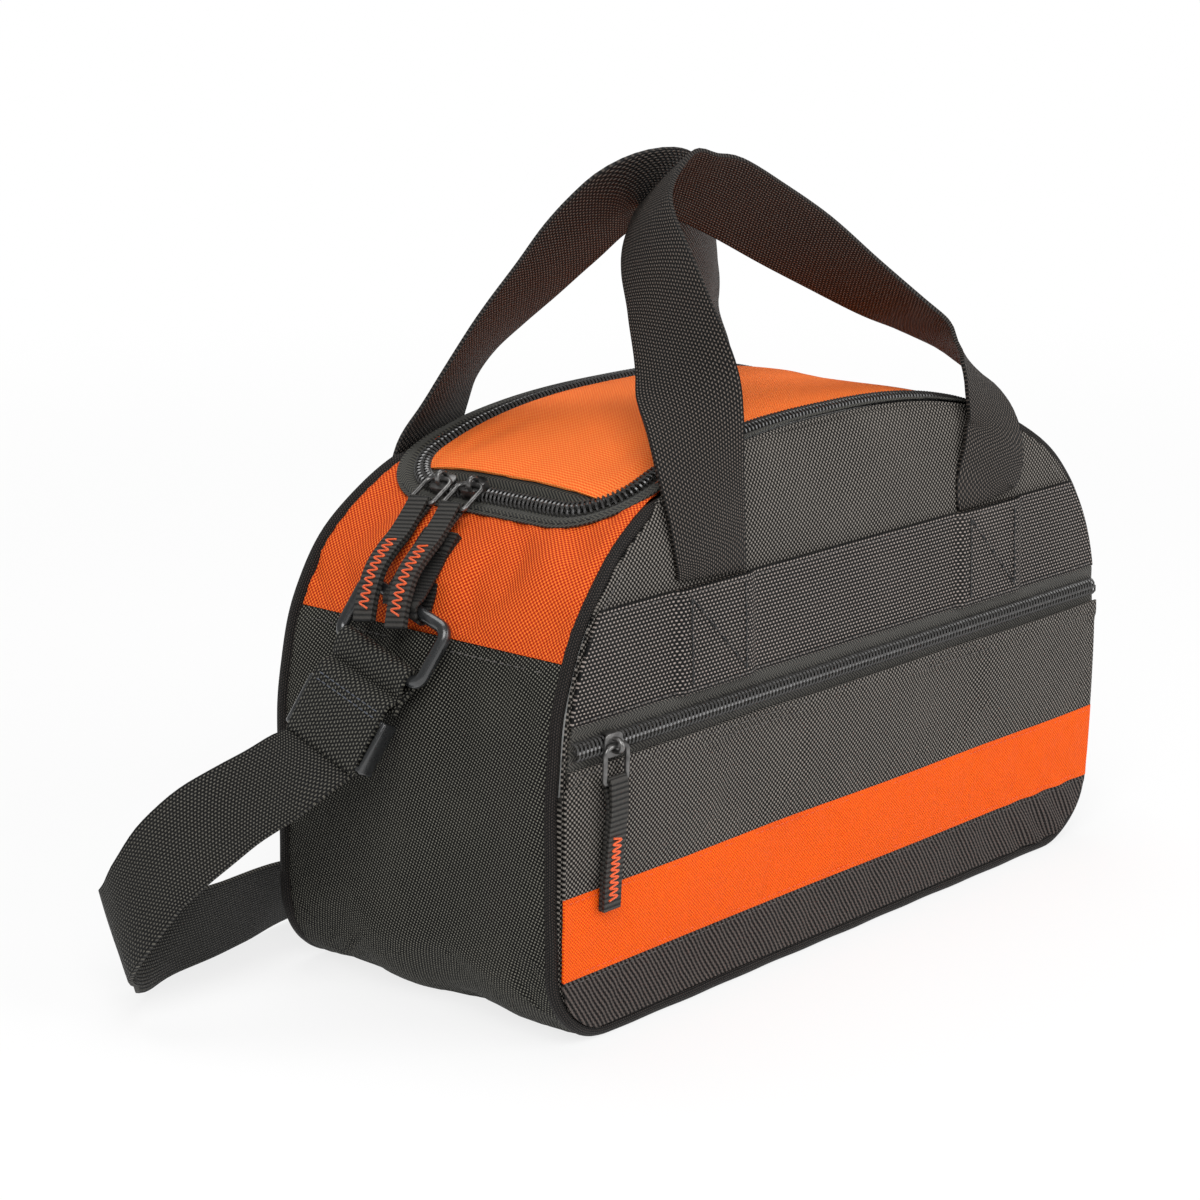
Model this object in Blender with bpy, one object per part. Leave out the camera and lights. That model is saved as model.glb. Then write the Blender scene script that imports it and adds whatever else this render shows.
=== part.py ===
"""Soft cooler bag with an arched profile, a zipped lid, two carry handles and a shoulder strap.

The bag stands on the X-Y plane with its origin at the middle of its base. X runs along the bag,
the front panel faces -Y and the lid's tongue, with the two main sliders, is at -X.

Sewn pieces are made as they are cut: each is a flat pattern that is given its thickness and then
wrapped on the arch round the bag (the gusset, lid and side foams) or laid on the front or back.
"""

import math

import bmesh
import bpy
import numpy as np
from mathutils import Vector

# Overall size of the bag, in metres
BAG_LENGTH = 0.336
BAG_DEPTH = 0.136
BAG_HEIGHT = 0.203
SHOULDER_HEIGHT = 0.070
BASE_CORNER_RADIUS = 0.030
ARCH_EXPONENT_ALONG = 2.55
ARCH_EXPONENT_UP = 3.1
ARCH_STEPS = 18
CORNER_STEPS = 6

# Front and back panels: how far they puff out, and how far their tops lean in to the zip
PUFF = 0.0035
TOP_LEAN = 0.010
LEAN_DROP = 0.053
PANEL_STEPS = 10

# Layers of the walls
SEAM_GAP = 0.0003
FABRIC = 0.0009
FOAM = 0.0040
LINER = 0.0005
ZIP_TAPE = 0.0007

# Piping in the seams round the front and back panels
PIPING_RADIUS = 0.0019
PIPING_SIDES = 6
PIPING_END_IN = 0.056

# Gusset seams
SIDE_SEAM_DROP = 0.064
BASE_SEAM_IN = 0.012

# Main zip: a line round the lid, straight at the sides and round the tongue
ZIP_SET_IN = 0.0134
TONGUE_IN = 0.048
TONGUE_CORNER_RADIUS = 0.022
HINGE_IN = 0.056
ZIP_END_IN = 0.004
TAPE_WIDTH = 0.0100
TAPE_SHOWN = 0.0080
CHAIN_HALF_WIDTH = 0.0030
CHAIN_HEIGHT = 0.0028
CHAIN_SPLIT = 0.00015
ARC_STEPS = 7

# Webbing band across the front and back, and the handle ends under it
BAND_DROP = 0.085
WEBBING_WIDTH = 0.038
WEBBING_THICKNESS = 0.0016
BAND_THICKNESS = 0.0017
LEG_SPACING = 0.170
ANCHOR_RAMP = 0.0035

# Carry handles
HANDLE_PIVOT_RISE = 0.0020
HANDLE_STAND_OFF = 0.0008
HANDLE_RISE = 0.078
HANDLE_MEETING = 0.0040
HANDLE_STEP = 0.0113

# Front pocket
POCKET_ZIP_DROP = 0.0085
POCKET_CHAIN_WIDTH = 0.0060
POCKET_TAPE_HEIGHT = 0.0180
POCKET_TOP_DROP = 0.0065
POCKET_LIFT = 0.0012
POCKET_RAMP = 0.0045
STRIPE_TOP = 0.0570
STRIPE_BOTTOM = 0.0265
POCKET_BOTTOM = 0.0045

# Zip sliders and their pulls
SLIDER_LENGTH = 0.0094
SLIDER_WIDTH = 0.0088
SLIDER_PLATE = 0.0011
SLIDER_CLEARANCE = 0.0005
CROWN_LENGTH = 0.0064
CROWN_WIDTH = 0.0032
CROWN_HEIGHT = 0.0031
CROWN_WALL = 0.0011
BAIL_WIRE_RADIUS = 0.00065
BAIL_WIDTH = 0.0102
BAIL_LENGTH = 0.0130
PULL_WIDTH = 0.0092
PULL_LENGTH = 0.0470
PULL_THICKNESS = 0.0026
REAR_SLIDER_IN = 0.0017
SLIDER_SPACING = 0.0158
POCKET_SLIDER_IN = 0.0240

# Shoulder strap, its rings and its slide adjuster
STRAP_THICKNESS = 0.0016
RING_BAR_RADIUS = 0.0024
RING_INNER_HEIGHT = 0.0170
RING_SIDE_CLEARANCE = 0.0020
RING_CORNER_RADIUS = 0.0034
TAB_THICKNESS = 0.0012
ADJUSTER_BAR = 0.0024
ADJUSTER_LENGTH = 0.0200
STRAP_STEP = 0.009

HALF_LENGTH = BAG_LENGTH / 2
HALF_DEPTH = BAG_DEPTH / 2
PIPING_CELL = 2 * PIPING_RADIUS + SEAM_GAP
PANEL_SET_IN = 0.0012
LEAN_START = BAG_HEIGHT - LEAN_DROP
PIPING_END = HALF_LENGTH - PIPING_END_IN
SIDE_SEAM_HEIGHT = BAG_HEIGHT - SIDE_SEAM_DROP
ZIP_HALF_WIDTH = HALF_DEPTH - PIPING_CELL - ZIP_SET_IN
TONGUE_REACH = HALF_LENGTH - TONGUE_IN
HINGE_REACH = HALF_LENGTH - HINGE_IN
BAND_BOTTOM = BAG_HEIGHT - BAND_DROP
HANDLE_TOP = BAG_HEIGHT + HANDLE_RISE
POCKET_ZIP_HEIGHT = BAND_BOTTOM - POCKET_ZIP_DROP
POCKET_TOP = POCKET_ZIP_HEIGHT - POCKET_TOP_DROP
REAR_SLIDER_PLACE = ZIP_HALF_WIDTH - TONGUE_CORNER_RADIUS - REAR_SLIDER_IN
FRONT_SLIDER_PLACE = REAR_SLIDER_PLACE - SLIDER_SPACING
POCKET_SLIDER_PLACE = POCKET_SLIDER_IN - HALF_LENGTH
TAPE_UNDER = FABRIC + ZIP_TAPE + 2 * SEAM_GAP
THIRTY_DEGREES = math.pi / 6
# Bodies are joined at this many times their size, where the solver is exact
JOIN_SCALE = 1000
MATERIALS = {}


# Materials

def material(name, colour, roughness, metallic=0.0):
    """Return the named finish, made once."""
    if name not in MATERIALS:
        made = bpy.data.materials.new(name)
        made.use_nodes = True
        shader = made.node_tree.nodes["Principled BSDF"]
        shader.inputs["Base Color"].default_value = (*colour, 1.0)
        shader.inputs["Roughness"].default_value = roughness
        shader.inputs["Metallic"].default_value = metallic
        made.diffuse_color = (*colour, 1.0)
        MATERIALS[name] = made
    return MATERIALS[name]


def grey_fabric(name):
    return material(name + "_finish", (0.060, 0.056, 0.052), 0.85)


def orange_fabric(name):
    return material(name + "_finish", (0.90, 0.13, 0.015), 0.75)


def webbing(name):
    return material(name + "_finish", (0.028, 0.025, 0.023), 0.80)


def foam(name):
    return material(name + "_finish", (0.75, 0.75, 0.73), 0.90)


def foil(name):
    return material(name + "_finish", (0.62, 0.63, 0.65), 0.30, 0.6)


def black_plastic(name):
    return material(name + "_finish", (0.015, 0.015, 0.016), 0.35)


def dark_metal(name):
    return material(name + "_finish", (0.070, 0.070, 0.075), 0.30, 0.9)


# Mesh helpers

def finish_object(name, mesh_builder, finish, smooth_angle=math.radians(35)):
    """Turn a bmesh into the named object with its finish."""
    bmesh.ops.recalc_face_normals(mesh_builder, faces=mesh_builder.faces)
    if mesh_builder.calc_volume(signed=True) < 0:
        bmesh.ops.reverse_faces(mesh_builder, faces=mesh_builder.faces)
    mesh = bpy.data.meshes.new(name)
    mesh_builder.to_mesh(mesh)
    mesh_builder.free()
    mesh.shade_smooth()
    mesh.set_sharp_from_angle(angle=smooth_angle)
    mesh.materials.append(finish)
    made = bpy.data.objects.new(name, mesh)
    bpy.context.scene.collection.objects.link(made)
    return made


def set_origin(made, point):
    """Move an object's origin to a point without moving its shape."""
    shift = Vector(point)
    for vertex in made.data.vertices:
        vertex.co -= shift
    made.location = shift


def loft(rings, closed=False):
    """Return a bmesh skinned over rings of points, capped unless it closes on itself."""
    built = bmesh.new()
    rows = [[built.verts.new(point) for point in ring] for ring in rings]
    count = len(rows[0])
    last = len(rows) if closed else len(rows) - 1
    for k in range(last):
        lower, upper = rows[k], rows[(k + 1) % len(rows)]
        for i in range(count):
            j = (i + 1) % count
            built.faces.new((lower[i], lower[j], upper[j], upper[i]))
    if not closed:
        built.faces.new(rows[0])
        built.faces.new(rows[-1])
    bmesh.ops.triangulate(built, faces=built.faces)
    return built


def cut_pattern(outline, low, high, along=(), across=()):
    """Return a bmesh plate of a flat outline, scored along the given lines so that it can bend."""
    built = bmesh.new()
    face = built.faces.new([built.verts.new((u, v, low)) for u, v in outline])
    extruded = bmesh.ops.extrude_face_region(built, geom=[face])
    top = [item for item in extruded["geom"] if isinstance(item, bmesh.types.BMVert)]
    bmesh.ops.translate(built, vec=(0, 0, high - low), verts=top)
    for places, normal in ((along, (1, 0, 0)), (across, (0, 1, 0))):
        values = [vertex.co[0 if normal[0] else 1] for vertex in built.verts]
        for place in places:
            if min(values) < place < max(values):
                every = list(built.verts) + list(built.edges) + list(built.faces)
                point = (place, 0, 0) if normal[0] else (0, place, 0)
                bmesh.ops.bisect_plane(built, geom=every, dist=1e-6, plane_co=point, plane_no=normal)
    bmesh.ops.remove_doubles(built, verts=built.verts, dist=1e-6)
    bmesh.ops.triangulate(built, faces=built.faces)
    return built


def smooth_route(stations, step):
    """Return points about one step apart on a smooth curve through rows of numbers."""
    rows = np.array(stations, dtype=float)
    padded = np.vstack([2 * rows[0] - rows[1], rows, 2 * rows[-1] - rows[-2]])
    result = []
    for k in range(1, len(padded) - 2):
        a, b, c, d = padded[k - 1:k + 3]
        count = max(2, round(float(np.linalg.norm((c - b)[:3])) / step))
        for t in np.arange(count) / count:
            result.append(0.5 * (2 * b + (c - a) * t + (2 * a - 5 * b + 4 * c - d) * t ** 2
                                 + (3 * b - a - 3 * c + d) * t ** 3))
    result.append(rows[-1])
    return np.array(result)


def ribbon_rings(rows, width, thickness):
    """Return the sections of a flat strap whose rows hold a centre and a width direction."""
    centres = [Vector(row[:3]) for row in rows]
    rings = []
    for k, row in enumerate(rows):
        ahead = centres[min(k + 1, len(rows) - 1)]
        behind = centres[max(k - 1, 0)]
        tangent = (ahead - behind).normalized()
        side = Vector(row[3:6])
        side = (side - tangent * side.dot(tangent)).normalized()
        out = tangent.cross(side)
        half, thin = side * (width / 2), out * (thickness / 2)
        edge = side * (width / 2 - thickness / 2)
        rings.append([centres[k] - half, centres[k] - edge - thin, centres[k] + edge - thin,
                      centres[k] + half, centres[k] + edge + thin, centres[k] - edge + thin])
    return rings


def block(low, high):
    """Return a block between two corners."""
    outline = [(low[0], low[1]), (high[0], low[1]), (high[0], high[1]), (low[0], high[1])]
    return cut_pattern(outline, low[2], high[2])


def unite(name, bodies, finish, frame=None):
    """Join overlapping bodies into one, and place it by a frame of an origin and three directions."""
    pieces = []
    for body in bodies:
        bmesh.ops.scale(body, vec=(JOIN_SCALE, JOIN_SCALE, JOIN_SCALE), verts=body.verts)
        pieces.append(finish_object("piece", body, finish))
    base = pieces[0]
    for piece in pieces[1:]:
        joined = base.modifiers.new("join", "BOOLEAN")
        joined.operation = "UNION"
        joined.solver = "EXACT"
        joined.object = piece
    graph = bpy.context.evaluated_depsgraph_get()
    built = bmesh.new()
    built.from_mesh(bpy.data.meshes.new_from_object(base.evaluated_get(graph)))
    for piece in pieces:
        bpy.data.objects.remove(piece, do_unlink=True)
    bmesh.ops.remove_doubles(built, verts=built.verts, dist=JOIN_SCALE * 2e-6)
    bmesh.ops.dissolve_limit(built, angle_limit=math.radians(0.5), verts=built.verts, edges=built.edges)
    bmesh.ops.triangulate(built, faces=built.faces)
    for vertex in built.verts:
        local = vertex.co / JOIN_SCALE
        vertex.co = frame[0] + frame[1] * local.x + frame[2] * local.y + frame[3] * local.z if frame else local
    return finish_object(name, built, finish)


# The arch round the bag, and places on it

class Arch:
    """The bag's outline in X and Z, measured along its length from the crown.

    Lengths are positive down the right side and negative down the left.
    """

    def __init__(self):
        quarter = []
        rise = BAG_HEIGHT - SHOULDER_HEIGHT
        for k in range(ARCH_STEPS + 1):
            angle = math.pi / 2 * k / ARCH_STEPS
            quarter.append((HALF_LENGTH * abs(math.sin(angle)) ** (2 / ARCH_EXPONENT_ALONG),
                            SHOULDER_HEIGHT + rise * abs(math.cos(angle)) ** (2 / ARCH_EXPONENT_UP)))
        for k in range(CORNER_STEPS + 1):
            angle = math.pi / 2 * k / CORNER_STEPS
            quarter.append((HALF_LENGTH - BASE_CORNER_RADIUS * (1 - math.cos(angle)),
                            BASE_CORNER_RADIUS * (1 - math.sin(angle))))
        quarter.append((0.0, 0.0))
        left = [(-x, z) for x, z in quarter[-2:0:-1]]
        self.points = np.array(quarter + left)
        ahead = np.roll(self.points, -1, axis=0) - self.points
        lengths = np.linalg.norm(ahead, axis=1)
        edges = np.stack([-ahead[:, 1], ahead[:, 0]], axis=1) / lengths[:, None]
        before = np.roll(edges, 1, axis=0)
        self.normals = (edges + before) / (1 + np.sum(edges * before, axis=1))[:, None]
        self.places = np.concatenate([[0.0], np.cumsum(lengths)])
        self.total = float(self.places[-1])

    def at(self, place, lift):
        """Return X and Z at a length from the crown, lifted off the outline."""
        wrapped = place % self.total
        k = min(int(np.searchsorted(self.places, wrapped, side="right")) - 1, len(self.points) - 1)
        share = (wrapped - self.places[k]) / (self.places[k + 1] - self.places[k])
        j = (k + 1) % len(self.points)
        point = self.points[k] * (1 - share) + self.points[j] * share
        normal = self.normals[k] * (1 - share) + self.normals[j] * share
        return point + normal * lift

    def scores(self):
        """Return the places where a wrapped pattern bends, on both sides of the crown."""
        inner = list(self.places[:-1])
        return sorted([value - self.total for value in inner] + inner + [value + self.total for value in inner])

    def place_at(self, axis, value):
        """Return the first place down the right side where X or Z reaches a value."""
        half = len(self.points) // 2 + 1
        for k in range(half - 1):
            low, high = self.points[k][axis], self.points[k + 1][axis]
            if min(low, high) <= value <= max(low, high) and low != high:
                share = (value - low) / (high - low)
                return float(self.places[k] + share * (self.places[k + 1] - self.places[k]))
        raise ValueError("the outline doesn't reach this value")


ARCH = Arch()
HINGE_PLACE = ARCH.place_at(0, HINGE_REACH)
TONGUE_PLACE = -ARCH.place_at(0, TONGUE_REACH)
PIPING_END_PLACE = ARCH.place_at(0, PIPING_END)
SIDE_SEAM_PLACE = ARCH.place_at(1, SIDE_SEAM_HEIGHT)
BASE_SEAM_PLACE = ARCH.total / 2 - (HALF_LENGTH - BASE_CORNER_RADIUS - BASE_SEAM_IN)
PANEL_ROWS = np.linspace(0, BAG_HEIGHT, PANEL_STEPS + 1)


def lean(height):
    """Return how far the panels lean in at a height."""
    rows = TOP_LEAN * np.clip((PANEL_ROWS - LEAN_START) / (BAG_HEIGHT - LEAN_START), 0, None) ** 2
    return float(np.interp(height, PANEL_ROWS, rows))


def panel_face(height):
    """Return the distance of a panel's outer face from the bag's middle plane."""
    puff = np.interp(height, PANEL_ROWS, PUFF * np.sin(math.pi * PANEL_ROWS / BAG_HEIGHT))
    return HALF_DEPTH - PANEL_SET_IN - lean(height) + float(puff)


def gusset_edge(place):
    """Return the half width of the gusset between the two pipings at a place on the arch."""
    height = float(ARCH.at(place, 0)[1])
    return HALF_DEPTH - PIPING_CELL - lean(height)


def wrap_on_arch(built):
    """Bend a flat pattern of place, Y and lift on to the arch."""
    for vertex in built.verts:
        x, z = ARCH.at(vertex.co[0], vertex.co[2])
        vertex.co = (x, vertex.co[1], z)
    return built


def lay_on_panel(built, side, base=lambda x, z: 0.0):
    """Lay a flat pattern of X, Z and lift on the front (side -1) or back (side 1) panel."""
    for vertex in built.verts:
        x, z, lift = vertex.co
        vertex.co = (x, side * (panel_face(z) + lift + base(x, z)), z)
    return built


def strip_outline(low, high, edge):
    """Return the outline of a strip of the arch between two places, with edges that follow it."""
    inner = [place for place in ARCH.scores() if low < place < high]
    places = [low] + inner + [high]
    return [(place, -edge(place)) for place in places] + [(place, edge(place)) for place in reversed(places)]


def tongue_outline(offset, stop):
    """Return the zip's line moved outwards by an offset, from the front side round the tongue."""
    half = ZIP_HALF_WIDTH + offset
    radius = TONGUE_CORNER_RADIUS + offset
    centre_place = TONGUE_PLACE + TONGUE_CORNER_RADIUS
    centre_y = ZIP_HALF_WIDTH - TONGUE_CORNER_RADIUS
    inner = [place for place in reversed(ARCH.scores()) if centre_place < place < stop]
    front = [(stop, -half)] + [(place, -half) for place in inner]
    for k in range(ARC_STEPS + 1):
        angle = math.pi / 2 * k / ARC_STEPS
        front.append((centre_place - radius * math.sin(angle), -centre_y - radius * math.cos(angle)))
    return front + [(place, -y) for place, y in reversed(front)]


def panel_loop(inset, low=0.0, high=BAG_HEIGHT, top_inset=None):
    """Return the arch's outline in X and Z, moved in and cut to a range of heights."""
    turn = PIPING_END_PLACE - SEAM_GAP
    places = list(ARCH.places[:-1])
    if top_inset is not None:
        places = sorted(places + [turn, ARCH.total - turn])
    loop = []
    for place in places:
        from_crown = min(place, ARCH.total - place)
        near_top = top_inset is not None and from_crown < turn - SEAM_GAP
        loop.append(tuple(ARCH.at(place, -(top_inset if near_top else inset))))
    return clip_loop(clip_loop(loop, low, 1), high, -1)


def clip_loop(loop, level, keep):
    """Return the part of a loop above (keep 1) or below (keep -1) a height."""
    result = []
    for (x0, z0), (x1, z1) in zip(loop, loop[1:] + loop[:1]):
        inside, inside_next = keep * (z0 - level) >= 0, keep * (z1 - level) >= 0
        if inside:
            result.append((x0, z0))
        if inside != inside_next and z0 != level and z1 != level:
            share = (level - z0) / (z1 - z0)
            result.append((x0 + share * (x1 - x0), level))
    return result


# Shell of the bag

def add_panel(name, side, finish, inset, low, high, top_inset):
    """Add a plate with the arch's outline on the front or back."""
    built = cut_pattern(panel_loop(inset, top_inset=top_inset), low, high, across=PANEL_ROWS)
    return finish_object(name, lay_on_panel(built, side), finish)


def add_strip(name, low, high, edge, inner, outer, finish):
    """Add a strip of the gusset, base or foam between two places on the arch."""
    built = cut_pattern(strip_outline(low, high, edge), inner, outer, ARCH.scores())
    return finish_object(name, wrap_on_arch(built), finish)


def foam_edge(place):
    """Return the half width that is left inside the front and back foams."""
    height = float(ARCH.at(place, 0)[1])
    return HALF_DEPTH - PANEL_SET_IN - FABRIC - FOAM - 3 * SEAM_GAP - lean(height)


def add_shell():
    """Add the panels, gusset strips, base, piping and the foam inside them."""
    for name, side in (("front", -1), ("back", 1)):
        add_panel(name + "_panel", side, grey_fabric(name + "_panel"), PIPING_CELL, -FABRIC, 0, TAPE_UNDER)
        add_panel(name + "_foam", side, foam(name + "_foam"), PIPING_CELL + SEAM_GAP,
                  -FABRIC - SEAM_GAP - FOAM, -FABRIC - SEAM_GAP, TAPE_UNDER)
        add_piping(name + "_piping", side)
    half_gap = SEAM_GAP / 2
    base_left = BASE_SEAM_PLACE
    base_right = ARCH.total - BASE_SEAM_PLACE
    add_strip("base_panel", base_left + half_gap, base_right - half_gap, gusset_edge, -FABRIC, 0,
              grey_fabric("base_panel"))
    add_strip("right_gusset_lower", SIDE_SEAM_PLACE + half_gap, base_left - half_gap, gusset_edge, -FABRIC, 0,
              grey_fabric("right_gusset_lower"))
    add_strip("left_gusset_lower", -base_left + half_gap, -SIDE_SEAM_PLACE - half_gap, gusset_edge, -FABRIC, 0,
              grey_fabric("left_gusset_lower"))
    add_strip("right_gusset_upper", HINGE_PLACE + half_gap, SIDE_SEAM_PLACE - half_gap, gusset_edge, -FABRIC, 0,
              orange_fabric("right_gusset_upper"))
    add_left_gusset_upper()
    foam_inner = -TAPE_UNDER - FOAM
    bottom_reach = ARCH.total / 2 - (HALF_LENGTH - BASE_CORNER_RADIUS)
    add_strip("base_foam", bottom_reach + half_gap, ARCH.total - bottom_reach - half_gap, foam_edge,
              foam_inner, -TAPE_UNDER, foam("base_foam"))
    add_strip("right_foam", HINGE_PLACE + SEAM_GAP, bottom_reach - half_gap, foam_edge,
              foam_inner, -TAPE_UNDER, foam("right_foam"))
    add_strip("left_foam", -bottom_reach + half_gap, TONGUE_PLACE - CHAIN_HALF_WIDTH, foam_edge,
              foam_inner, -TAPE_UNDER, foam("left_foam"))


def add_left_gusset_upper():
    """Add the orange piece under the tongue, with an arm up each side of the zip."""
    inner = tongue_outline(TAPE_SHOWN, 0.0)
    low = -SIDE_SEAM_PLACE + SEAM_GAP / 2
    turn = TONGUE_PLACE + TONGUE_CORNER_RADIUS
    arm = max(place for place in ARCH.scores() if place < turn
              and gusset_edge(place) > tongue_half_width(place, TAPE_SHOWN) + 2 * FABRIC)
    places = [low] + [place for place in ARCH.scores() if low < place < arm] + [arm]
    front = [(place, -gusset_edge(place)) for place in places]
    notch = [(place, y) for place, y in inner if place < arm]
    cut = [(arm, -tongue_half_width(arm, TAPE_SHOWN))] + notch + [(arm, tongue_half_width(arm, TAPE_SHOWN))]
    outline = front + cut + [(place, -y) for place, y in reversed(front)]
    built = cut_pattern(outline, -FABRIC, 0, ARCH.scores())
    finish_object("left_gusset_upper", wrap_on_arch(built), orange_fabric("left_gusset_upper"))


def tongue_half_width(place, offset):
    """Return the half width of the zip's line, moved outwards, at a place on the arch."""
    centre_place = TONGUE_PLACE + TONGUE_CORNER_RADIUS
    if place >= centre_place:
        return ZIP_HALF_WIDTH + offset
    radius = TONGUE_CORNER_RADIUS + offset
    reach = math.sqrt(max(radius ** 2 - (centre_place - place) ** 2, 0.0))
    return ZIP_HALF_WIDTH - TONGUE_CORNER_RADIUS + reach


def add_piping(name, side):
    """Add the piping from the zip down one end, under the base and up the other end."""
    low, high = PIPING_END_PLACE, ARCH.total - PIPING_END_PLACE
    places = [low] + [place for place in ARCH.scores() if low < place < high] + [high]
    rings = []
    for place in places:
        inner, outer = ARCH.at(place, -2 * PIPING_RADIUS), ARCH.at(place, 0)
        centre, reach = (inner + outer) / 2, (outer - inner) / 2
        y = HALF_DEPTH - PIPING_RADIUS - lean(float(outer[1]))
        ring = []
        for k in range(PIPING_SIDES):
            angle = 2 * math.pi * k / PIPING_SIDES
            x, z = centre + reach * math.cos(angle)
            ring.append((x, side * (y + PIPING_RADIUS * math.sin(angle)), z))
        rings.append(ring)
    finish_object(name, loft(rings), webbing(name))


def add_liner():
    """Add the leakproof liner: one thin tub, open at the lid."""
    lift = -TAPE_UNDER - SEAM_GAP - FOAM
    wall_out = -FABRIC - 3 * SEAM_GAP - FOAM
    middle = lift - LINER / 2
    low, high = HINGE_PLACE + SEAM_GAP, ARCH.total + TONGUE_PLACE - CHAIN_HALF_WIDTH
    rows = [ARCH.place_at(1, height) for height in PANEL_ROWS if SHOULDER_HEIGHT < height < BAG_HEIGHT - FOAM]
    bends = sorted(ARCH.scores() + rows + [ARCH.total - place for place in rows])
    places = [low] + [place for place in bends if low < place < high] + [high]

    def edge(place):
        return panel_face(float(ARCH.at(place, middle)[1])) + wall_out - LINER / 2

    outline = [(place, -edge(place)) for place in places] + [(place, edge(place)) for place in reversed(places)]
    bodies = [wrap_on_arch(cut_pattern(outline, lift - LINER, lift, bends))]
    for side in (-1, 1):
        wall = cut_pattern(panel_loop(-middle), wall_out - LINER, wall_out, across=PANEL_ROWS)
        bodies.append(lay_on_panel(wall, side))
    unite("inner_liner", bodies, foil("inner_liner"))


# Main zip and lid

def band_between(inner_offset, outer_offset, stop, outer_limit=None):
    """Return the outline of a band that follows the zip between two offsets from its line."""
    outer = tongue_outline(outer_offset, stop)
    inner = tongue_outline(inner_offset, stop)
    if outer_limit is not None:
        outer = [(place, math.copysign(min(abs(y), outer_limit(place)), y)) for place, y in outer]
    return outer + list(reversed(inner))


def tape_limit(place):
    """Return how far the outer tape may reach: to the piping, or over the panel's top edge."""
    if abs(place) < PIPING_END_PLACE - SEAM_GAP:
        height = float(ARCH.at(place, 0)[1])
        return HALF_DEPTH - PANEL_SET_IN - lean(height)
    return gusset_edge(place) - SEAM_GAP


def add_main_zip():
    """Add both halves of the main zip: tape and chain on the bag and on the lid."""
    stop = HINGE_PLACE - ZIP_END_IN
    tape_top = -FABRIC - SEAM_GAP
    tape_bottom = tape_top - ZIP_TAPE
    chain_bottom = tape_top + SEAM_GAP
    chain_top = chain_bottom + CHAIN_HEIGHT
    bends = ARCH.scores()
    pieces = (
        ("main_zip_tape", CHAIN_SPLIT, TAPE_WIDTH, tape_bottom, tape_top, webbing, tape_limit),
        ("main_zip_chain", CHAIN_SPLIT, CHAIN_HALF_WIDTH, chain_bottom, chain_top, black_plastic, None),
        ("lid_zip_tape", -TAPE_WIDTH, -CHAIN_SPLIT, tape_bottom, tape_top, webbing, None),
        ("lid_zip_chain", -CHAIN_HALF_WIDTH, -CHAIN_SPLIT, chain_bottom, chain_top, black_plastic, None),
    )
    for name, inner, outer, low, high, finish, limit in pieces:
        built = cut_pattern(band_between(inner, outer, stop, limit), low, high, bends)
        finish_object(name, wrap_on_arch(built), finish(name))


def add_lid():
    """Add the lid's outer panel, foam and liner, from the hinge line to the tongue."""
    stop = HINGE_PLACE - SEAM_GAP / 2
    foam_low = -TAPE_UNDER - FOAM
    layers = (
        ("lid_panel", -TAPE_SHOWN, -FABRIC, 0.0, orange_fabric),
        ("lid_foam", -2 * SEAM_GAP, foam_low, -TAPE_UNDER, foam),
        ("lid_liner", -CHAIN_HALF_WIDTH, foam_low - SEAM_GAP - LINER, foam_low - SEAM_GAP, foil),
    )
    for name, offset, low, high, finish in layers:
        built = cut_pattern(tongue_outline(offset, stop), low, high, ARCH.scores())
        made = finish_object(name, wrap_on_arch(built), finish(name))
        x, z = ARCH.at(HINGE_PLACE, 0)
        set_origin(made, (x, 0, z))


# Webbing band, handle ends and handles

def anchor_base(x, z):
    """Return how far the band is lifted by the handle ends that lie under it."""
    clear = abs(abs(x) - LEG_SPACING / 2) - WEBBING_WIDTH / 2 - SEAM_GAP
    share = min(max(clear / ANCHOR_RAMP, 0.0), 1.0)
    return (WEBBING_THICKNESS + SEAM_GAP) * (1 - share)


def band_scores():
    """Return the lines where the band bends over the handle ends, and over the panel."""
    half = WEBBING_WIDTH / 2 + SEAM_GAP
    places = []
    for leg in (-LEG_SPACING / 2, LEG_SPACING / 2):
        places += [leg - half - ANCHOR_RAMP, leg - half, leg + half, leg + half + ANCHOR_RAMP]
    return sorted(places)


def add_bands():
    """Add the webbing bands and the handle ends sewn under them."""
    for name, side in (("front", -1), ("back", 1)):
        low, high = BAND_BOTTOM, BAND_BOTTOM + WEBBING_WIDTH
        loop = panel_loop(PIPING_CELL + SEAM_GAP, low, high)
        built = cut_pattern(loop, SEAM_GAP, SEAM_GAP + BAND_THICKNESS, band_scores(), PANEL_ROWS)
        finish_object(name + "_band", lay_on_panel(built, side, anchor_base), webbing(name + "_band"))
        for end, sign in (("left", -1), ("right", 1)):
            centre, half = sign * LEG_SPACING / 2, WEBBING_WIDTH / 2
            outline = [(centre - half, low + SEAM_GAP), (centre + half, low + SEAM_GAP),
                       (centre + half, high), (centre - half, high)]
            built = cut_pattern(outline, SEAM_GAP, SEAM_GAP + WEBBING_THICKNESS, across=PANEL_ROWS)
            label = name + "_handle_end_" + end
            finish_object(label, lay_on_panel(built, side), webbing(label))


def handle_pivot():
    """Return the height and the distance from the middle plane of the handles' fold line."""
    height = BAND_BOTTOM + WEBBING_WIDTH + HANDLE_PIVOT_RISE
    return height, panel_face(height) + HANDLE_STAND_OFF + WEBBING_THICKNESS / 2


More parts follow.
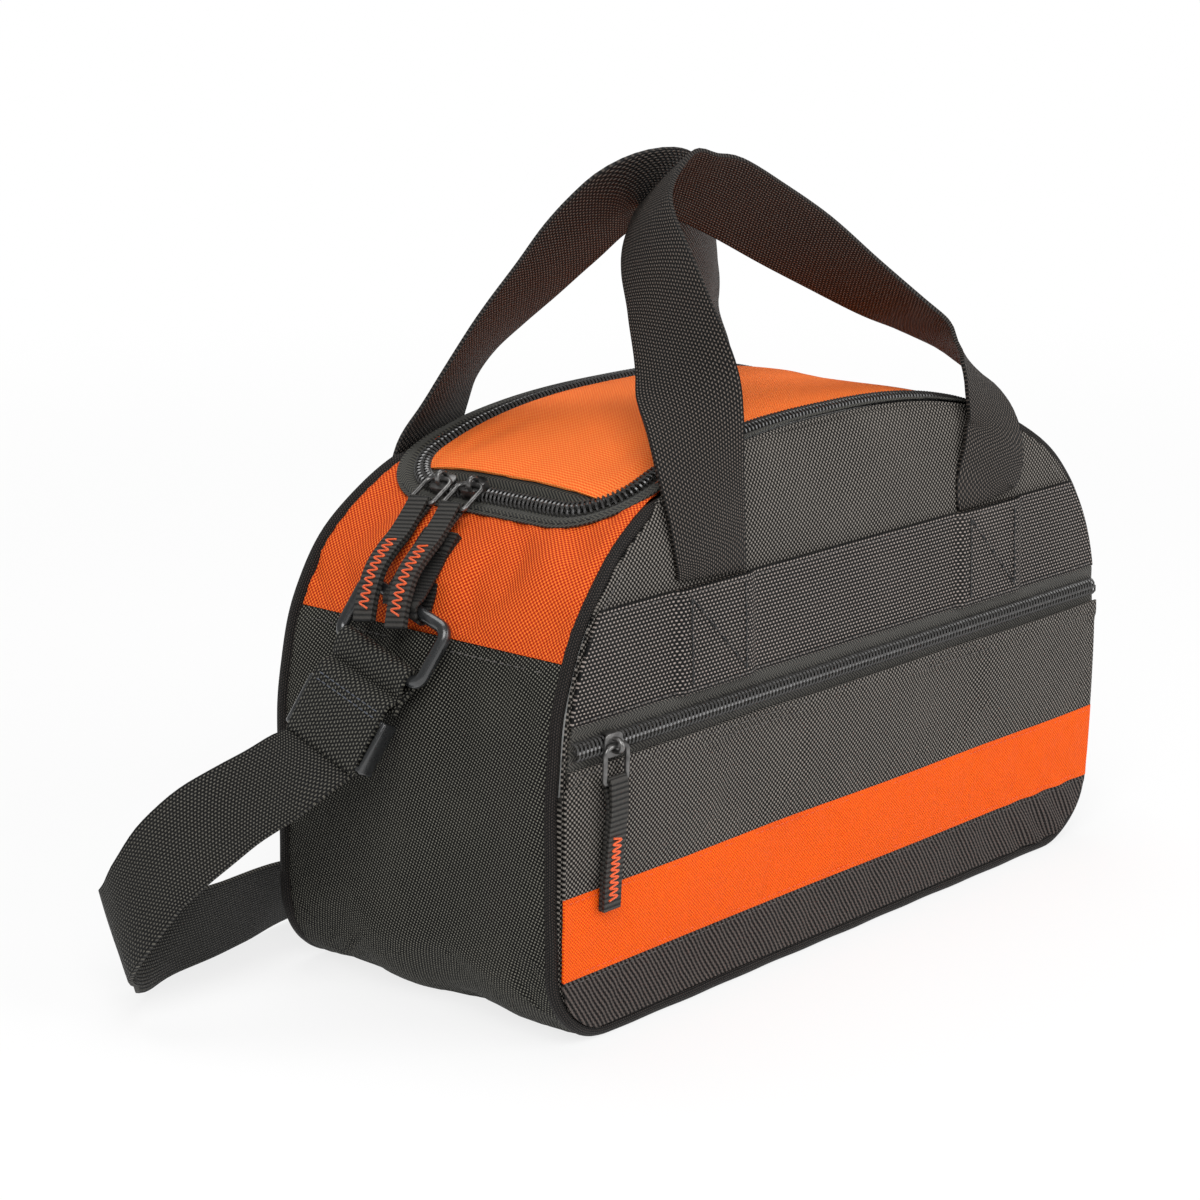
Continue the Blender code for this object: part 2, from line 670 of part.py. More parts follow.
# Each row: X as a share of half the leg spacing, the reach towards the middle plane and the rise
# to the top as shares, then the direction across the webbing.
FRONT_HANDLE_SHARES = (
    (1.00, 0.00, 0.00, 1.00, 0.00, 0.00),
    (1.00, 0.00, 0.05, 1.00, 0.00, 0.00),
    (1.02, 0.00, 0.14, 1.00, 0.02, -0.03),
    (1.06, 0.02, 0.25, 0.98, 0.12, -0.12),
    (1.08, 0.07, 0.34, 0.90, 0.36, -0.20),
    (1.00, 0.17, 0.45, 0.72, 0.62, -0.26),
    (0.80, 0.33, 0.57, 0.50, 0.74, -0.42),
    (0.52, 0.53, 0.71, 0.33, 0.54, -0.76),
    (0.20, 0.75, 0.87, 0.20, 0.26, -0.94),
    (-0.08, 0.92, 0.97, 0.10, 0.07, -0.99),
    (-0.34, 1.00, 1.00, 0.00, 0.00, -1.00),
    (-0.58, 0.94, 0.96, -0.25, 0.12, -0.95),
    (-0.78, 0.76, 0.87, -0.52, 0.38, -0.74),
    (-0.93, 0.52, 0.75, -0.76, 0.42, -0.48),
    (-1.01, 0.30, 0.61, -0.90, 0.34, -0.25),
    (-1.06, 0.14, 0.46, -0.96, 0.24, -0.12),
    (-1.06, 0.05, 0.30, -0.98, 0.14, -0.05),
    (-1.03, 0.01, 0.16, -1.00, 0.04, 0.00),
    (-1.00, 0.00, 0.05, -1.00, 0.00, 0.00),
    (-1.00, 0.00, 0.00, -1.00, 0.00, 0.00),
)
BACK_HANDLE_SHARES = (
    (1.00, 0.00, 0.00, 1.00, 0.00, 0.00),
    (1.00, 0.00, 0.05, 1.00, 0.00, 0.00),
    (0.98, 0.01, 0.16, 0.99, 0.03, 0.06),
    (0.92, 0.05, 0.30, 0.92, 0.18, 0.30),
    (0.76, 0.16, 0.43, 0.80, 0.34, 0.48),
    (0.54, 0.36, 0.55, 0.66, 0.38, 0.66),
    (0.28, 0.60, 0.68, 0.50, 0.30, 0.80),
    (0.02, 0.82, 0.84, 0.40, 0.16, 0.90),
    (-0.22, 0.96, 0.96, 0.24, 0.04, 0.97),
    (-0.44, 1.00, 1.00, 0.00, 0.00, 1.00),
    (-0.66, 0.90, 0.94, -0.34, 0.16, 0.92),
    (-0.84, 0.68, 0.82, -0.60, 0.44, 0.66),
    (-0.95, 0.44, 0.68, -0.72, 0.60, 0.34),
    (-1.01, 0.24, 0.54, -0.76, 0.62, 0.16),
    (-1.06, 0.10, 0.40, -0.88, 0.42, 0.10),
    (-1.06, 0.03, 0.26, -0.98, 0.14, 0.04),
    (-1.02, 0.00, 0.14, -1.00, 0.02, 0.00),
    (-1.00, 0.00, 0.05, -1.00, 0.00, 0.00),
    (-1.00, 0.00, 0.00, -1.00, 0.00, 0.00),
)


def add_handles():
    """Add both carry handles, each a twisted length of webbing with its origin on its fold line."""
    height, reach = handle_pivot()
    rise = HANDLE_TOP - height
    for name, side, shares in (("front_handle", -1, FRONT_HANDLE_SHARES), ("back_handle", 1, BACK_HANDLE_SHARES)):
        rows = []
        for x, inward, up, wx, wy, wz in shares:
            y = -side * inward * (reach - HANDLE_MEETING) + side * reach
            rows.append((x * LEG_SPACING / 2, y, height + up * rise, wx, -side * wy, wz))
        rings = ribbon_rings(smooth_route(rows, HANDLE_STEP), WEBBING_WIDTH, WEBBING_THICKNESS)
        made = finish_object(name, loft(rings), webbing(name))
        set_origin(made, (0, side * reach, height))


# Front pocket

def pocket_base(x, z):
    """Return how far the pocket's cloth is lifted where it meets its zip."""
    share = min(max((POCKET_TOP - POCKET_RAMP - z) / POCKET_RAMP, 0.0), 1.0)
    return (POCKET_LIFT - SEAM_GAP) * (1 - share)


def add_pocket():
    """Add the pocket: its zip, cloth, the orange stripe and the strip below it."""
    inset = PIPING_CELL + SEAM_GAP
    tape_low = POCKET_ZIP_HEIGHT - POCKET_TAPE_HEIGHT / 2
    tape_high = BAND_BOTTOM - SEAM_GAP
    tape_out = SEAM_GAP + ZIP_TAPE
    built = cut_pattern(panel_loop(inset, tape_low, tape_high), SEAM_GAP, tape_out, across=PANEL_ROWS)
    finish_object("pocket_zip_tape", lay_on_panel(built, -1), webbing("pocket_zip_tape"))
    half = POCKET_CHAIN_WIDTH / 2
    low = tape_out + SEAM_GAP
    built = cut_pattern(panel_loop(inset, POCKET_ZIP_HEIGHT - half, POCKET_ZIP_HEIGHT + half),
                        low, low + CHAIN_HEIGHT, across=PANEL_ROWS)
    finish_object("pocket_zip_chain", lay_on_panel(built, -1), black_plastic("pocket_zip_chain"))
    ramp_rows = sorted(list(PANEL_ROWS) + [POCKET_TOP - POCKET_RAMP, POCKET_TOP - 2 * POCKET_RAMP])
    pieces = (
        ("pocket_panel", STRIPE_TOP + SEAM_GAP / 2, POCKET_TOP, grey_fabric),
        ("pocket_stripe", STRIPE_BOTTOM + SEAM_GAP / 2, STRIPE_TOP - SEAM_GAP / 2, orange_fabric),
        ("pocket_lower_panel", POCKET_BOTTOM, STRIPE_BOTTOM - SEAM_GAP / 2, grey_fabric),
    )
    for name, low, high, finish in pieces:
        built = cut_pattern(panel_loop(inset, low, high), SEAM_GAP, SEAM_GAP + FABRIC, across=ramp_rows)
        finish_object(name, lay_on_panel(built, -1, pocket_base), finish(name))


# Zip sliders and pulls

def add_slider(name, frame, chain_half, chain_low, chain_high):
    """Add a zip slider: a channel round the chain with a crown on top, in a frame on the zip's line."""
    half_length, half_width = SLIDER_LENGTH / 2, SLIDER_WIDTH / 2
    inner = chain_half + SLIDER_CLEARANCE
    plate_low = chain_high + SLIDER_CLEARANCE
    plate_high = plate_low + SLIDER_PLATE
    corner = half_width / 3
    outline = [(-half_length, -half_width + corner), (-half_length + corner, -half_width),
               (half_length - 2 * corner, -half_width), (half_length, -half_width + 2 * corner),
               (half_length, half_width - 2 * corner), (half_length - 2 * corner, half_width),
               (-half_length + corner, half_width), (-half_length, half_width - corner)]
    pieces = [cut_pattern(outline, plate_low, plate_high)]
    flange_reach = half_length - 2 * corner
    flange_low = chain_low + SLIDER_CLEARANCE
    middle = plate_low + SLIDER_PLATE / 2
    for sign in (-1, 1):
        edges = sorted((sign * inner, sign * half_width))
        pieces.append(block((-flange_reach, edges[0], flange_low), (flange_reach, edges[1], middle)))
    crown_half, leg = CROWN_WIDTH / 2, CROWN_LENGTH / 2
    top = plate_high + CROWN_HEIGHT
    for sign in (-1, 1):
        edges = sorted((sign * (leg - CROWN_WALL), sign * leg))
        pieces.append(block((-crown_half, edges[0], middle), (crown_half, edges[1], top)))
    pieces.append(block((-crown_half, -leg, top - CROWN_WALL), (crown_half, leg, top)))
    made = unite(name, pieces, dark_metal(name), frame)
    set_origin(made, frame[0])
    return plate_high + (CROWN_HEIGHT - CROWN_WALL) / 2


def wire_loop(name, centre, across, down, width, length, radius, wire, sides, finish):
    """Add a closed loop of wire or bar with rounded corners, in the plane of two directions."""
    points = []
    for quarter, (sx, sy) in enumerate(((1, 1), (-1, 1), (-1, -1), (1, -1))):
        for k in range(4):
            angle = THIRTY_DEGREES * (3 * quarter + k)
            points.append(centre + across * (sx * (width / 2 - radius) + radius * math.cos(angle))
                          + down * (sy * (length / 2 - radius) + radius * math.sin(angle)))
    normal = across.cross(down).normalized()
    rings = []
    for k, point in enumerate(points):
        tangent = (points[(k + 1) % len(points)] - points[k - 1]).normalized()
        side = tangent.cross(normal)
        rings.append([point + wire * (math.cos(a) * side + math.sin(a) * normal)
                      for a in (2 * math.pi * i / sides for i in range(sides))])
    return finish_object(name, loft(rings, closed=True), finish)


def folded_rows(bar, loop_radius, route, out, spread, width_at):
    """Return the rows of a strap folded over a bar, whose two layers run side by side along a route."""
    count = len(route)
    back, front = [], []
    for k in range(1, count):
        point = route[k]
        ahead = route[min(k + 1, count - 1)] - route[k - 1]
        side = width_at(k)
        normal = ahead.cross(side).normalized()
        normal = normal if normal.dot(out) > 0 else -normal
        front.append((*(point + normal * spread), *side))
        back.append((*(point - normal * spread), *side))
    start = (route[1] - route[0]).normalized()
    side = width_at(0)
    normal = start.cross(side).normalized()
    normal = normal if normal.dot(out) > 0 else -normal
    arc = []
    for k in range(7):
        angle = THIRTY_DEGREES * k
        arc.append((*(bar + loop_radius * (-normal * math.cos(angle) - start * math.sin(angle))), *side))
    return list(reversed(back)) + arc + front


# Each row of a pull's route on the tongue: the length from the bail down the gusset as a share of
# the pull, and the lift off the gusset in pull thicknesses.
MAIN_PULL_SHARES = (
    (0.00, 1.85), (0.14, 2.05), (0.30, 2.45), (0.45, 3.45), (0.60, 4.45), (0.72, 4.80), (0.86, 4.85), (1.00, 4.75))
# Each row of the pocket pull's route: the same, off the front panel.
POCKET_PULL_SHARES = ((0.00, 2.90), (0.20, 2.75), (0.45, 2.30), (0.72, 1.90), (1.00, 1.75))
PULL_SLANT_SHARE = 0.18
# How far each bail leans in towards the bag along its length
BAIL_TIP_SHARE = 0.04


def add_pull(name, pivot, along, bail_down, out, route):
    """Add a slider's wire bail and the ribbon pull folded over it."""
    centre = pivot + bail_down * (BAIL_LENGTH / 2)
    bail = wire_loop(name + "_bail", centre, along, bail_down, BAIL_WIDTH + 2 * BAIL_WIRE_RADIUS, BAIL_LENGTH,
                     2 * BAIL_WIRE_RADIUS, BAIL_WIRE_RADIUS, 6, dark_metal(name + "_bail"))
    bar = pivot + bail_down * BAIL_LENGTH
    layer = PULL_THICKNESS / 2 - SEAM_GAP / 2
    loop_radius = BAIL_WIRE_RADIUS + SEAM_GAP + layer / 2
    together = (layer + SEAM_GAP) / 2
    rows = folded_rows(bar, loop_radius, [bar] + route, out, together, lambda k: along)
    pull = finish_object(name, loft(ribbon_rings(rows, PULL_WIDTH, layer)), webbing(name))
    for made in (bail, pull):
        set_origin(made, pivot)


def add_main_sliders():
    """Add both sliders of the main zip, at the end of the tongue, with their pulls on the gusset."""
    chain_low = -FABRIC
    along = Vector((0, 1, 0))
    before, after = ARCH.at(TONGUE_PLACE - CHAIN_HALF_WIDTH, 0), ARCH.at(TONGUE_PLACE + CHAIN_HALF_WIDTH, 0)
    across = Vector((before[0] - after[0], 0, before[1] - after[1])).normalized()
    out = along.cross(across).normalized()
    out = out if out.z > 0 else -out
    middle = ARCH.at(TONGUE_PLACE, 0)
    for name, y in (("front", FRONT_SLIDER_PLACE), ("rear", REAR_SLIDER_PLACE)):
        frame = (Vector((middle[0], y, middle[1])), along, across, out)
        hole = add_slider(name + "_main_slider", frame, CHAIN_HALF_WIDTH, chain_low, chain_low + CHAIN_HEIGHT)
        pivot = frame[0] + out * hole
        start = TONGUE_PLACE - BAIL_LENGTH
        route = []
        for share, lift in MAIN_PULL_SHARES[1:]:
            x, z = ARCH.at(start - share * PULL_LENGTH, lift * PULL_THICKNESS)
            route.append(Vector((x, y - PULL_SLANT_SHARE * share * PULL_LENGTH, z)))
        bail_down = (across - out * BAIL_TIP_SHARE).normalized()
        add_pull(name + "_main_pull", pivot, along, bail_down, out, route)


def add_pocket_slider():
    """Add the pocket's slider and its hanging pull."""
    face = panel_face(POCKET_ZIP_HEIGHT)
    low = SEAM_GAP + ZIP_TAPE + SEAM_GAP
    along, across, out = Vector((1, 0, 0)), Vector((0, 0, -1)), Vector((0, -1, 0))
    frame = (Vector((POCKET_SLIDER_PLACE, -face, POCKET_ZIP_HEIGHT)), along, across, out)
    hole = add_slider("pocket_slider", frame, POCKET_CHAIN_WIDTH / 2, low, low + CHAIN_HEIGHT)
    pivot = frame[0] + out * hole
    top = pivot.z - BAIL_LENGTH
    route = []
    for share, lift in POCKET_PULL_SHARES[1:]:
        z = top - share * PULL_LENGTH
        route.append(Vector((POCKET_SLIDER_PLACE, -panel_face(z) - lift * PULL_THICKNESS, z)))
    add_pull("pocket_pull", pivot, along, Vector((0, BAIL_TIP_SHARE, -1)).normalized(), out, route)


# Shoulder strap

# Directions of each end: down along the strap and out from the bag. The left one is drawn to the
# back by the strap's weight.
LEFT_DOWN_SHARES = (-0.425, 0.259, -0.867)
LEFT_OUT_SHARES = (-0.898, 0.00, 0.44)
RIGHT_DOWN_SHARES = (0.44, 0.00, -0.898)
RIGHT_OUT_SHARES = (0.898, 0.00, 0.44)
RING_DROP = 0.0752
RING_STAND_OFF = 0.0078
LEFT_RING_BACK = 0.012
TAB_WIDTH = 0.025
TAB_SEWN_DROP = 0.034
TAB_SEWN_LENGTH = 0.012
STRAP_FOLD_LENGTH = 0.014
ADJUSTER_PLACE = 0.027
STRAIGHT_LENGTH = 0.047
# Where the folded layers lie beside each other, and where they leave the bar, as shares of the fold
FOLD_FLAT_SHARE = 0.65
FOLD_OPEN_SHARE = 0.30
FOLD_OPEN_LIFT_SHARE = 0.80
STRAIGHT_EVEN_SHARE = 0.90

# The strap's route between its straight ends: X, Y and Z as shares of half the bag's length, half
# its depth and its height, then the direction across the webbing.
STRAP_ROUTE_SHARES = (
    (-1.160, 0.44, 0.430, 0.10, 0.75, 0.62),
    (-1.225, 0.60, 0.400, 0.02, 0.38, 0.92),
    (-1.325, 0.74, 0.360, -0.35, 0.12, 0.93),
    (-1.405, 0.86, 0.296, -0.60, 0.02, 0.80),
    (-1.435, 0.97, 0.214, -0.83, 0.08, 0.55),
    (-1.395, 1.07, 0.142, -0.90, 0.25, -0.05),
    (-1.305, 1.16, 0.100, -0.62, 0.45, -0.60),
    (-1.190, 1.24, 0.088, -0.25, 0.55, -0.80),
    (-1.060, 1.31, 0.086, -0.05, 0.60, -0.80),
    (-0.900, 1.35, 0.086, 0.00, 0.60, -0.80),
    (-0.400, 1.37, 0.086, 0.00, 0.60, -0.80),
    (0.200, 1.38, 0.086, 0.00, 0.60, -0.80),
    (0.750, 1.36, 0.088, 0.05, 0.58, -0.81),
    (0.960, 1.38, 0.110, 0.25, 0.52, -0.82),
    (1.130, 1.28, 0.175, 0.42, 0.55, -0.70),
    (1.250, 1.00, 0.275, 0.36, 0.80, -0.40),
    (1.250, 0.60, 0.390, 0.20, 0.96, 0.05),
)


def end_frame(sign, back, down, out):
    """Return a strap end's bar centre, off the arch, with its down, out and across directions."""
    x, z = ARCH.at(sign * ARCH.place_at(1, BAG_HEIGHT - RING_DROP), RING_STAND_OFF)
    down = Vector(down).normalized()
    out = Vector(out)
    out = (out - down * out.dot(down)).normalized()
    across = out.cross(down)
    across = across if across.y > 0 else -across
    return Vector((x, back, z)), down, out, across


def add_ring(name, frame):
    """Add a plastic ring whose lower bar carries the strap, and return its upper bar's centre."""
    bar, down, out, across = frame
    reach = RING_INNER_HEIGHT + 2 * RING_BAR_RADIUS
    width = WEBBING_WIDTH + 2 * RING_SIDE_CLEARANCE + 2 * RING_BAR_RADIUS
    wire_loop(name, bar - down * (reach / 2), across, -down, width, reach, RING_CORNER_RADIUS, RING_BAR_RADIUS,
              8, black_plastic(name))
    return bar - down * reach


def add_ring_tab(name, upper_bar, frame, sign):
    """Add the webbing tab that holds a ring on the gusset."""
    _, down, out, across = frame
    place = sign * ARCH.place_at(1, BAG_HEIGHT - TAB_SEWN_DROP)
    loop_radius = RING_BAR_RADIUS + 2 * SEAM_GAP + TAB_THICKNESS / 2
    together = (TAB_THICKNESS + SEAM_GAP) / 2
    lift = 3 * SEAM_GAP + TAB_THICKNESS
    sewn = TAB_SEWN_LENGTH / 2
    route = [upper_bar]
    for spot, y_share in ((place + sign * 2 * sewn, 0.5), (place + sign * sewn, 0.25), (place, 0.0)):
        x, z = ARCH.at(spot, lift)
        route.append(Vector((x, upper_bar.y * y_share, z)))
    rows = folded_rows(upper_bar, loop_radius, route, out, together,
                       lambda k: (across * (1 - k / 3) + Vector((0, k / 3, 0))).normalized())
    finish_object(name, loft(ribbon_rings(rows, TAB_WIDTH, TAB_THICKNESS)), webbing(name))


def strap_end(frame):
    """Return the rows of one end of the strap: its sewn layer, the fold and the straight stretch."""
    bar, down, out, across = frame
    loop_radius = RING_BAR_RADIUS + SEAM_GAP + STRAP_THICKNESS / 2
    together = (STRAP_THICKNESS + SEAM_GAP) / 2
    flat = (STRAP_FOLD_LENGTH * FOLD_FLAT_SHARE, together)
    opened = (STRAP_FOLD_LENGTH * FOLD_OPEN_SHARE, loop_radius * FOLD_OPEN_LIFT_SHARE)
    even = (STRAIGHT_LENGTH * STRAIGHT_EVEN_SHARE, together)
    rows = []
    for reach, lift in ((STRAP_FOLD_LENGTH, together), flat, opened):
        rows.append((*(bar + down * reach - out * lift), *across))
    for k in range(7):
        angle = THIRTY_DEGREES * k
        rows.append((*(bar + loop_radius * (-out * math.cos(angle) - down * math.sin(angle))), *across))
    for reach, lift in (opened, flat, (STRAP_FOLD_LENGTH, together), even, (STRAIGHT_LENGTH, together)):
        rows.append((*(bar + down * reach + out * lift), *across))
    return rows


def add_shoulder_strap():
    """Add the rings, their tabs, the shoulder strap and its adjuster."""
    left = end_frame(-1, LEFT_RING_BACK, LEFT_DOWN_SHARES, LEFT_OUT_SHARES)
    right = end_frame(1, 0.0, RIGHT_DOWN_SHARES, RIGHT_OUT_SHARES)
    add_ring_tab("left_ring_tab", add_ring("left_ring", left), left, -1)
    add_ring_tab("right_ring_tab", add_ring("right_ring", right), right, 1)
    first = strap_end(left)
    last = list(reversed(strap_end(right)))
    middle = [(x * HALF_LENGTH, y * HALF_DEPTH, z * BAG_HEIGHT, wx, wy, wz)
              for x, y, z, wx, wy, wz in STRAP_ROUTE_SHARES]
    free = smooth_route([first[-1]] + middle + [last[0]], STRAP_STEP)
    rows = first[:-1] + [tuple(row) for row in free] + last[1:]
    finish_object("shoulder_strap", loft(ribbon_rings(rows, WEBBING_WIDTH, STRAP_THICKNESS)),
                  webbing("shoulder_strap"))
    add_adjuster(left)


def add_adjuster(frame):
    """Add the slide adjuster: end bars in front of the strap and a middle bar behind it."""
    bar, down, out, across = frame
    together = (STRAP_THICKNESS + SEAM_GAP) / 2
    origin = bar + down * ADJUSTER_PLACE + out * together
    axes = (origin, down, across, out)
    near = STRAP_THICKNESS / 2 + SEAM_GAP
    far = near + ADJUSTER_BAR
    half_length = ADJUSTER_LENGTH / 2
    rail_in = WEBBING_WIDTH / 2 + RING_SIDE_CLEARANCE
    rail_out = rail_in + ADJUSTER_BAR
    pieces = [block((-half_length, -rail_out, -far), (half_length, -rail_in, far)),
              block((-half_length, rail_in, -far), (half_length, rail_out, far))]
    overlap = (rail_in + rail_out) / 2
    for start in (-half_length, half_length - ADJUSTER_BAR):
        pieces.append(block((start, -overlap, near), (start + ADJUSTER_BAR, overlap, far - SEAM_GAP)))
    pieces.append(block((-ADJUSTER_BAR / 2, -overlap, SEAM_GAP - far), (ADJUSTER_BAR / 2, overlap, -near)))
    made = unite("strap_adjuster", pieces, black_plastic("strap_adjuster"), axes)
    set_origin(made, origin)


def main():
    for existing in list(bpy.data.objects):
        bpy.data.objects.remove(existing, do_unlink=True)
    add_shell()
    add_liner()
    add_main_zip()
    add_lid()
    add_bands()
    add_handles()
    add_pocket()
    add_main_sliders()
    add_pocket_slider()
    add_shoulder_strap()


main()
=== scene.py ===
"""Soft cooler bag: its cloth, webbing, zips and fittings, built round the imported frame.

The bag stands on the X-Y plane. X runs along it, the front faces -Y and the lid's tongue is at -X.
Lengths are in metres. A place is a length along the arch, from the crown, positive down the right.
"""

import logging
import math
from dataclasses import dataclass, field
from enum import Enum
from functools import cached_property
from typing import Callable, Sequence

import bmesh
import bpy
import numpy as np
from mathutils import Matrix, Vector


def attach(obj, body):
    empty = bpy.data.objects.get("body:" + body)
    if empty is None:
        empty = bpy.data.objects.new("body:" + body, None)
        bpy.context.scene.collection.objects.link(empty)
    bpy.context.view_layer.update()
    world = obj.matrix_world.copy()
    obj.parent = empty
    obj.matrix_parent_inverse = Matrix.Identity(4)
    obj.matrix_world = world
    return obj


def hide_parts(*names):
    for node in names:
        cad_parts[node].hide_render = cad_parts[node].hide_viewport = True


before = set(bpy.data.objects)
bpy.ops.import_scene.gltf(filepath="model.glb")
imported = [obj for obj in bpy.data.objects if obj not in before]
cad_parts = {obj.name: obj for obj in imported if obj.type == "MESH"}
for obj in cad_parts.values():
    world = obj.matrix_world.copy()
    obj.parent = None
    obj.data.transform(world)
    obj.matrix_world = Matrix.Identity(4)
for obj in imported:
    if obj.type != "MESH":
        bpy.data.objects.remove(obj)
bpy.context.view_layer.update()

LOG = logging.getLogger("cooler_bag")
Array = np.ndarray
Surface = Callable[[Array, Array], tuple[Array, Array]]
Colour = tuple[float, float, float]
Piece = bpy.types.Object
Socket = bpy.types.NodeSocket
Material = bpy.types.Material
FLOOR_GAP = 0.0004
CLOTH_FRAMES = 20


class Side(Enum):
    """The two large faces of the bag."""

    FRONT = -1
    BACK = 1


class Tint:
    """One output of a material's nodes; Python's operators add Math nodes to it."""

    def __init__(self, tree: bpy.types.NodeTree, socket: Socket) -> None:
        """Wrap a socket of a node tree."""
        self.tree = tree
        self.socket = socket

    def run(self, operation: str, *values: object) -> "Tint":
        """Add a Math node.

        Args:
            operation: the Math node's operation.
            values: its inputs in order, each a Tint or a number.

        Returns:
            The node's result.
        """
        node = self.tree.nodes.new("ShaderNodeMath")
        node.operation = operation
        for slot, value in zip(node.inputs, values):
            if isinstance(value, Tint):
                self.tree.links.new(value.socket, slot)
            else:
                slot.default_value = float(value)
        return Tint(self.tree, node.outputs[0])

    def __add__(self, other: object) -> "Tint":
        """Add."""
        return self.run("ADD", self, other)

    __radd__ = __add__

    def __sub__(self, other: object) -> "Tint":
        """Subtract."""
        return self.run("SUBTRACT", self, other)

    def __rsub__(self, other: object) -> "Tint":
        """Subtract from a number."""
        return self.run("SUBTRACT", other, self)

    def __mul__(self, other: object) -> "Tint":
        """Multiply."""
        return self.run("MULTIPLY", self, other)

    __rmul__ = __mul__

    def sine(self) -> "Tint":
        """Take the sine."""
        return self.run("SINE", self)

    def size(self) -> "Tint":
        """Take the value without its sign."""
        return self.run("ABSOLUTE", self)

    def floor(self) -> "Tint":
        """Round down."""
        return self.run("FLOOR", self)

    def fraction(self) -> "Tint":
        """Keep what is after the decimal point."""
        return self.run("FRACT", self)

    def power(self, exponent: float) -> "Tint":
        """Raise to a power."""
        return self.run("POWER", self, exponent)

    def zigzag(self) -> "Tint":
        """Go up and down between 0 and 1, once for each whole number."""
        return (self.fraction() - 0.5).size() * 2.0

    def ramp(self, low: float, high: float) -> "Tint":
        """Turn a range into a smooth step from 0 to 1.

        Args:
            low: the lower limit.
            high: the upper limit.

        Returns:
            The share between the limits.
        """
        node = self.tree.nodes.new("ShaderNodeMapRange")
        node.interpolation_type = "SMOOTHSTEP"
        node.inputs["From Min"].default_value = low
        node.inputs["From Max"].default_value = high
        self.tree.links.new(self.socket, node.inputs["Value"])
        return Tint(self.tree, node.outputs["Result"])


class Dye:
    """The nodes of one material, with helpers for the patterns that the finishes share."""

    def __init__(self, name: str) -> None:
        """Start an empty material with its shader.

        Args:
            name: the name it gets.
        """
        self.material = bpy.data.materials.new(name)
        self.material.use_nodes = True
        self.tree = self.material.node_tree
        self.shader = self.tree.nodes["Principled BSDF"]

    def node(self, kind: str, settings: dict | None = None, inputs: dict | None = None) -> bpy.types.Node:
        """Add any other node.

        Args:
            kind: the node's type.
            settings: its own options, set first.
            inputs: a value, Tint or socket for each named or numbered input.

        Returns:
            The node.
        """
        made = self.tree.nodes.new(kind)
        for key, value in (settings or {}).items():
            setattr(made, key, value)
        for key, value in (inputs or {}).items():
            if isinstance(value, Tint):
                self.tree.links.new(value.socket, made.inputs[key])
            elif isinstance(value, Socket):
                self.tree.links.new(value, made.inputs[key])
            else:
                made.inputs[key].default_value = value
        return made

    def flat(self) -> tuple[Tint, Tint, Socket]:
        """Return the two lengths of the piece's own cut cloth, and both as a vector.

        Returns:
            Two coordinates in metres and the vector.
        """
        source = self.node("ShaderNodeTexCoord").outputs["UV"]
        parts = self.node("ShaderNodeSeparateXYZ", inputs={0: source})
        return Tint(self.tree, parts.outputs[0]), Tint(self.tree, parts.outputs[1]), source

    def solid(self) -> Socket:
        """Return the place in the object's own frame."""
        return self.node("ShaderNodeTexCoord").outputs["Object"]

    def noise(self, where: Socket, length: float, detail: float = 2.0,
              stretch: Colour = (1.0, 1.0, 1.0)) -> Tint:
        """Return cloudy noise whose clouds are about one length across.

        Args:
            where: the coordinates it is laid on.
            length: the length of one wave in metres.
            detail: how many finer layers it has.
            stretch: stretch along each axis.

        Returns:
            The noise from 0 to 1.
        """
        scaled = self.node("ShaderNodeMapping", inputs={"Vector": where, "Scale": stretch})
        made = self.node("ShaderNodeTexNoise", inputs={"Vector": scaled.outputs[0], "Scale": 1 / length,
                                                       "Detail": detail})
        return Tint(self.tree, made.outputs[0])

    def mix(self, factor: Tint, first: object, second: object) -> Socket:
        """Mix two colours.

        Args:
            factor: the share of the second colour.
            first: the first colour.
            second: the second colour.

        Returns:
            The mixed colour.
        """
        made = self.node("ShaderNodeMix", {"data_type": "RGBA"}, {"Factor": factor})
        for slot, value in ((made.inputs[6], first), (made.inputs[7], second)):
            if isinstance(value, Socket):
                self.tree.links.new(value, slot)
            else:
                slot.default_value = (*value, 1.0)
        return made.outputs[2]

    def bump(self, height: Tint, distance: float, under: bpy.types.Node | None = None) -> bpy.types.Node:
        """Raise the surface by a height that runs from 0 to 1.

        Args:
            height: the height field.
            distance: the depth of the relief in metres.
            under: the relief it is laid on.

        Returns:
            The bump node.
        """
        inputs = {"Height": height, "Distance": distance}
        if under is not None:
            inputs["Normal"] = under.outputs[0]
        return self.node("ShaderNodeBump", inputs=inputs)

    def finish(self, colour: object, roughness: object, normal: bpy.types.Node | None = None,
               **constants: object) -> Material:
        """Join the parts to the shader.

        Args:
            colour: the base colour, a socket or three numbers.
            roughness: a Tint or a number.
            normal: the last bump node.
            constants: other sockets' values, with _ for a space in their names.

        Returns:
            The material.
        """
        if isinstance(colour, Socket):
            self.tree.links.new(colour, self.shader.inputs["Base Color"])
        else:
            self.shader.inputs["Base Color"].default_value = (*colour, 1.0)
        if isinstance(roughness, Tint):
            self.tree.links.new(roughness.socket, self.shader.inputs["Roughness"])
        else:
            self.shader.inputs["Roughness"].default_value = roughness
        if normal is not None:
            self.tree.links.new(normal.outputs[0], self.shader.inputs["Normal"])
        for key, value in constants.items():
            self.shader.inputs[key.replace("_", " ")].default_value = value
        return self.material


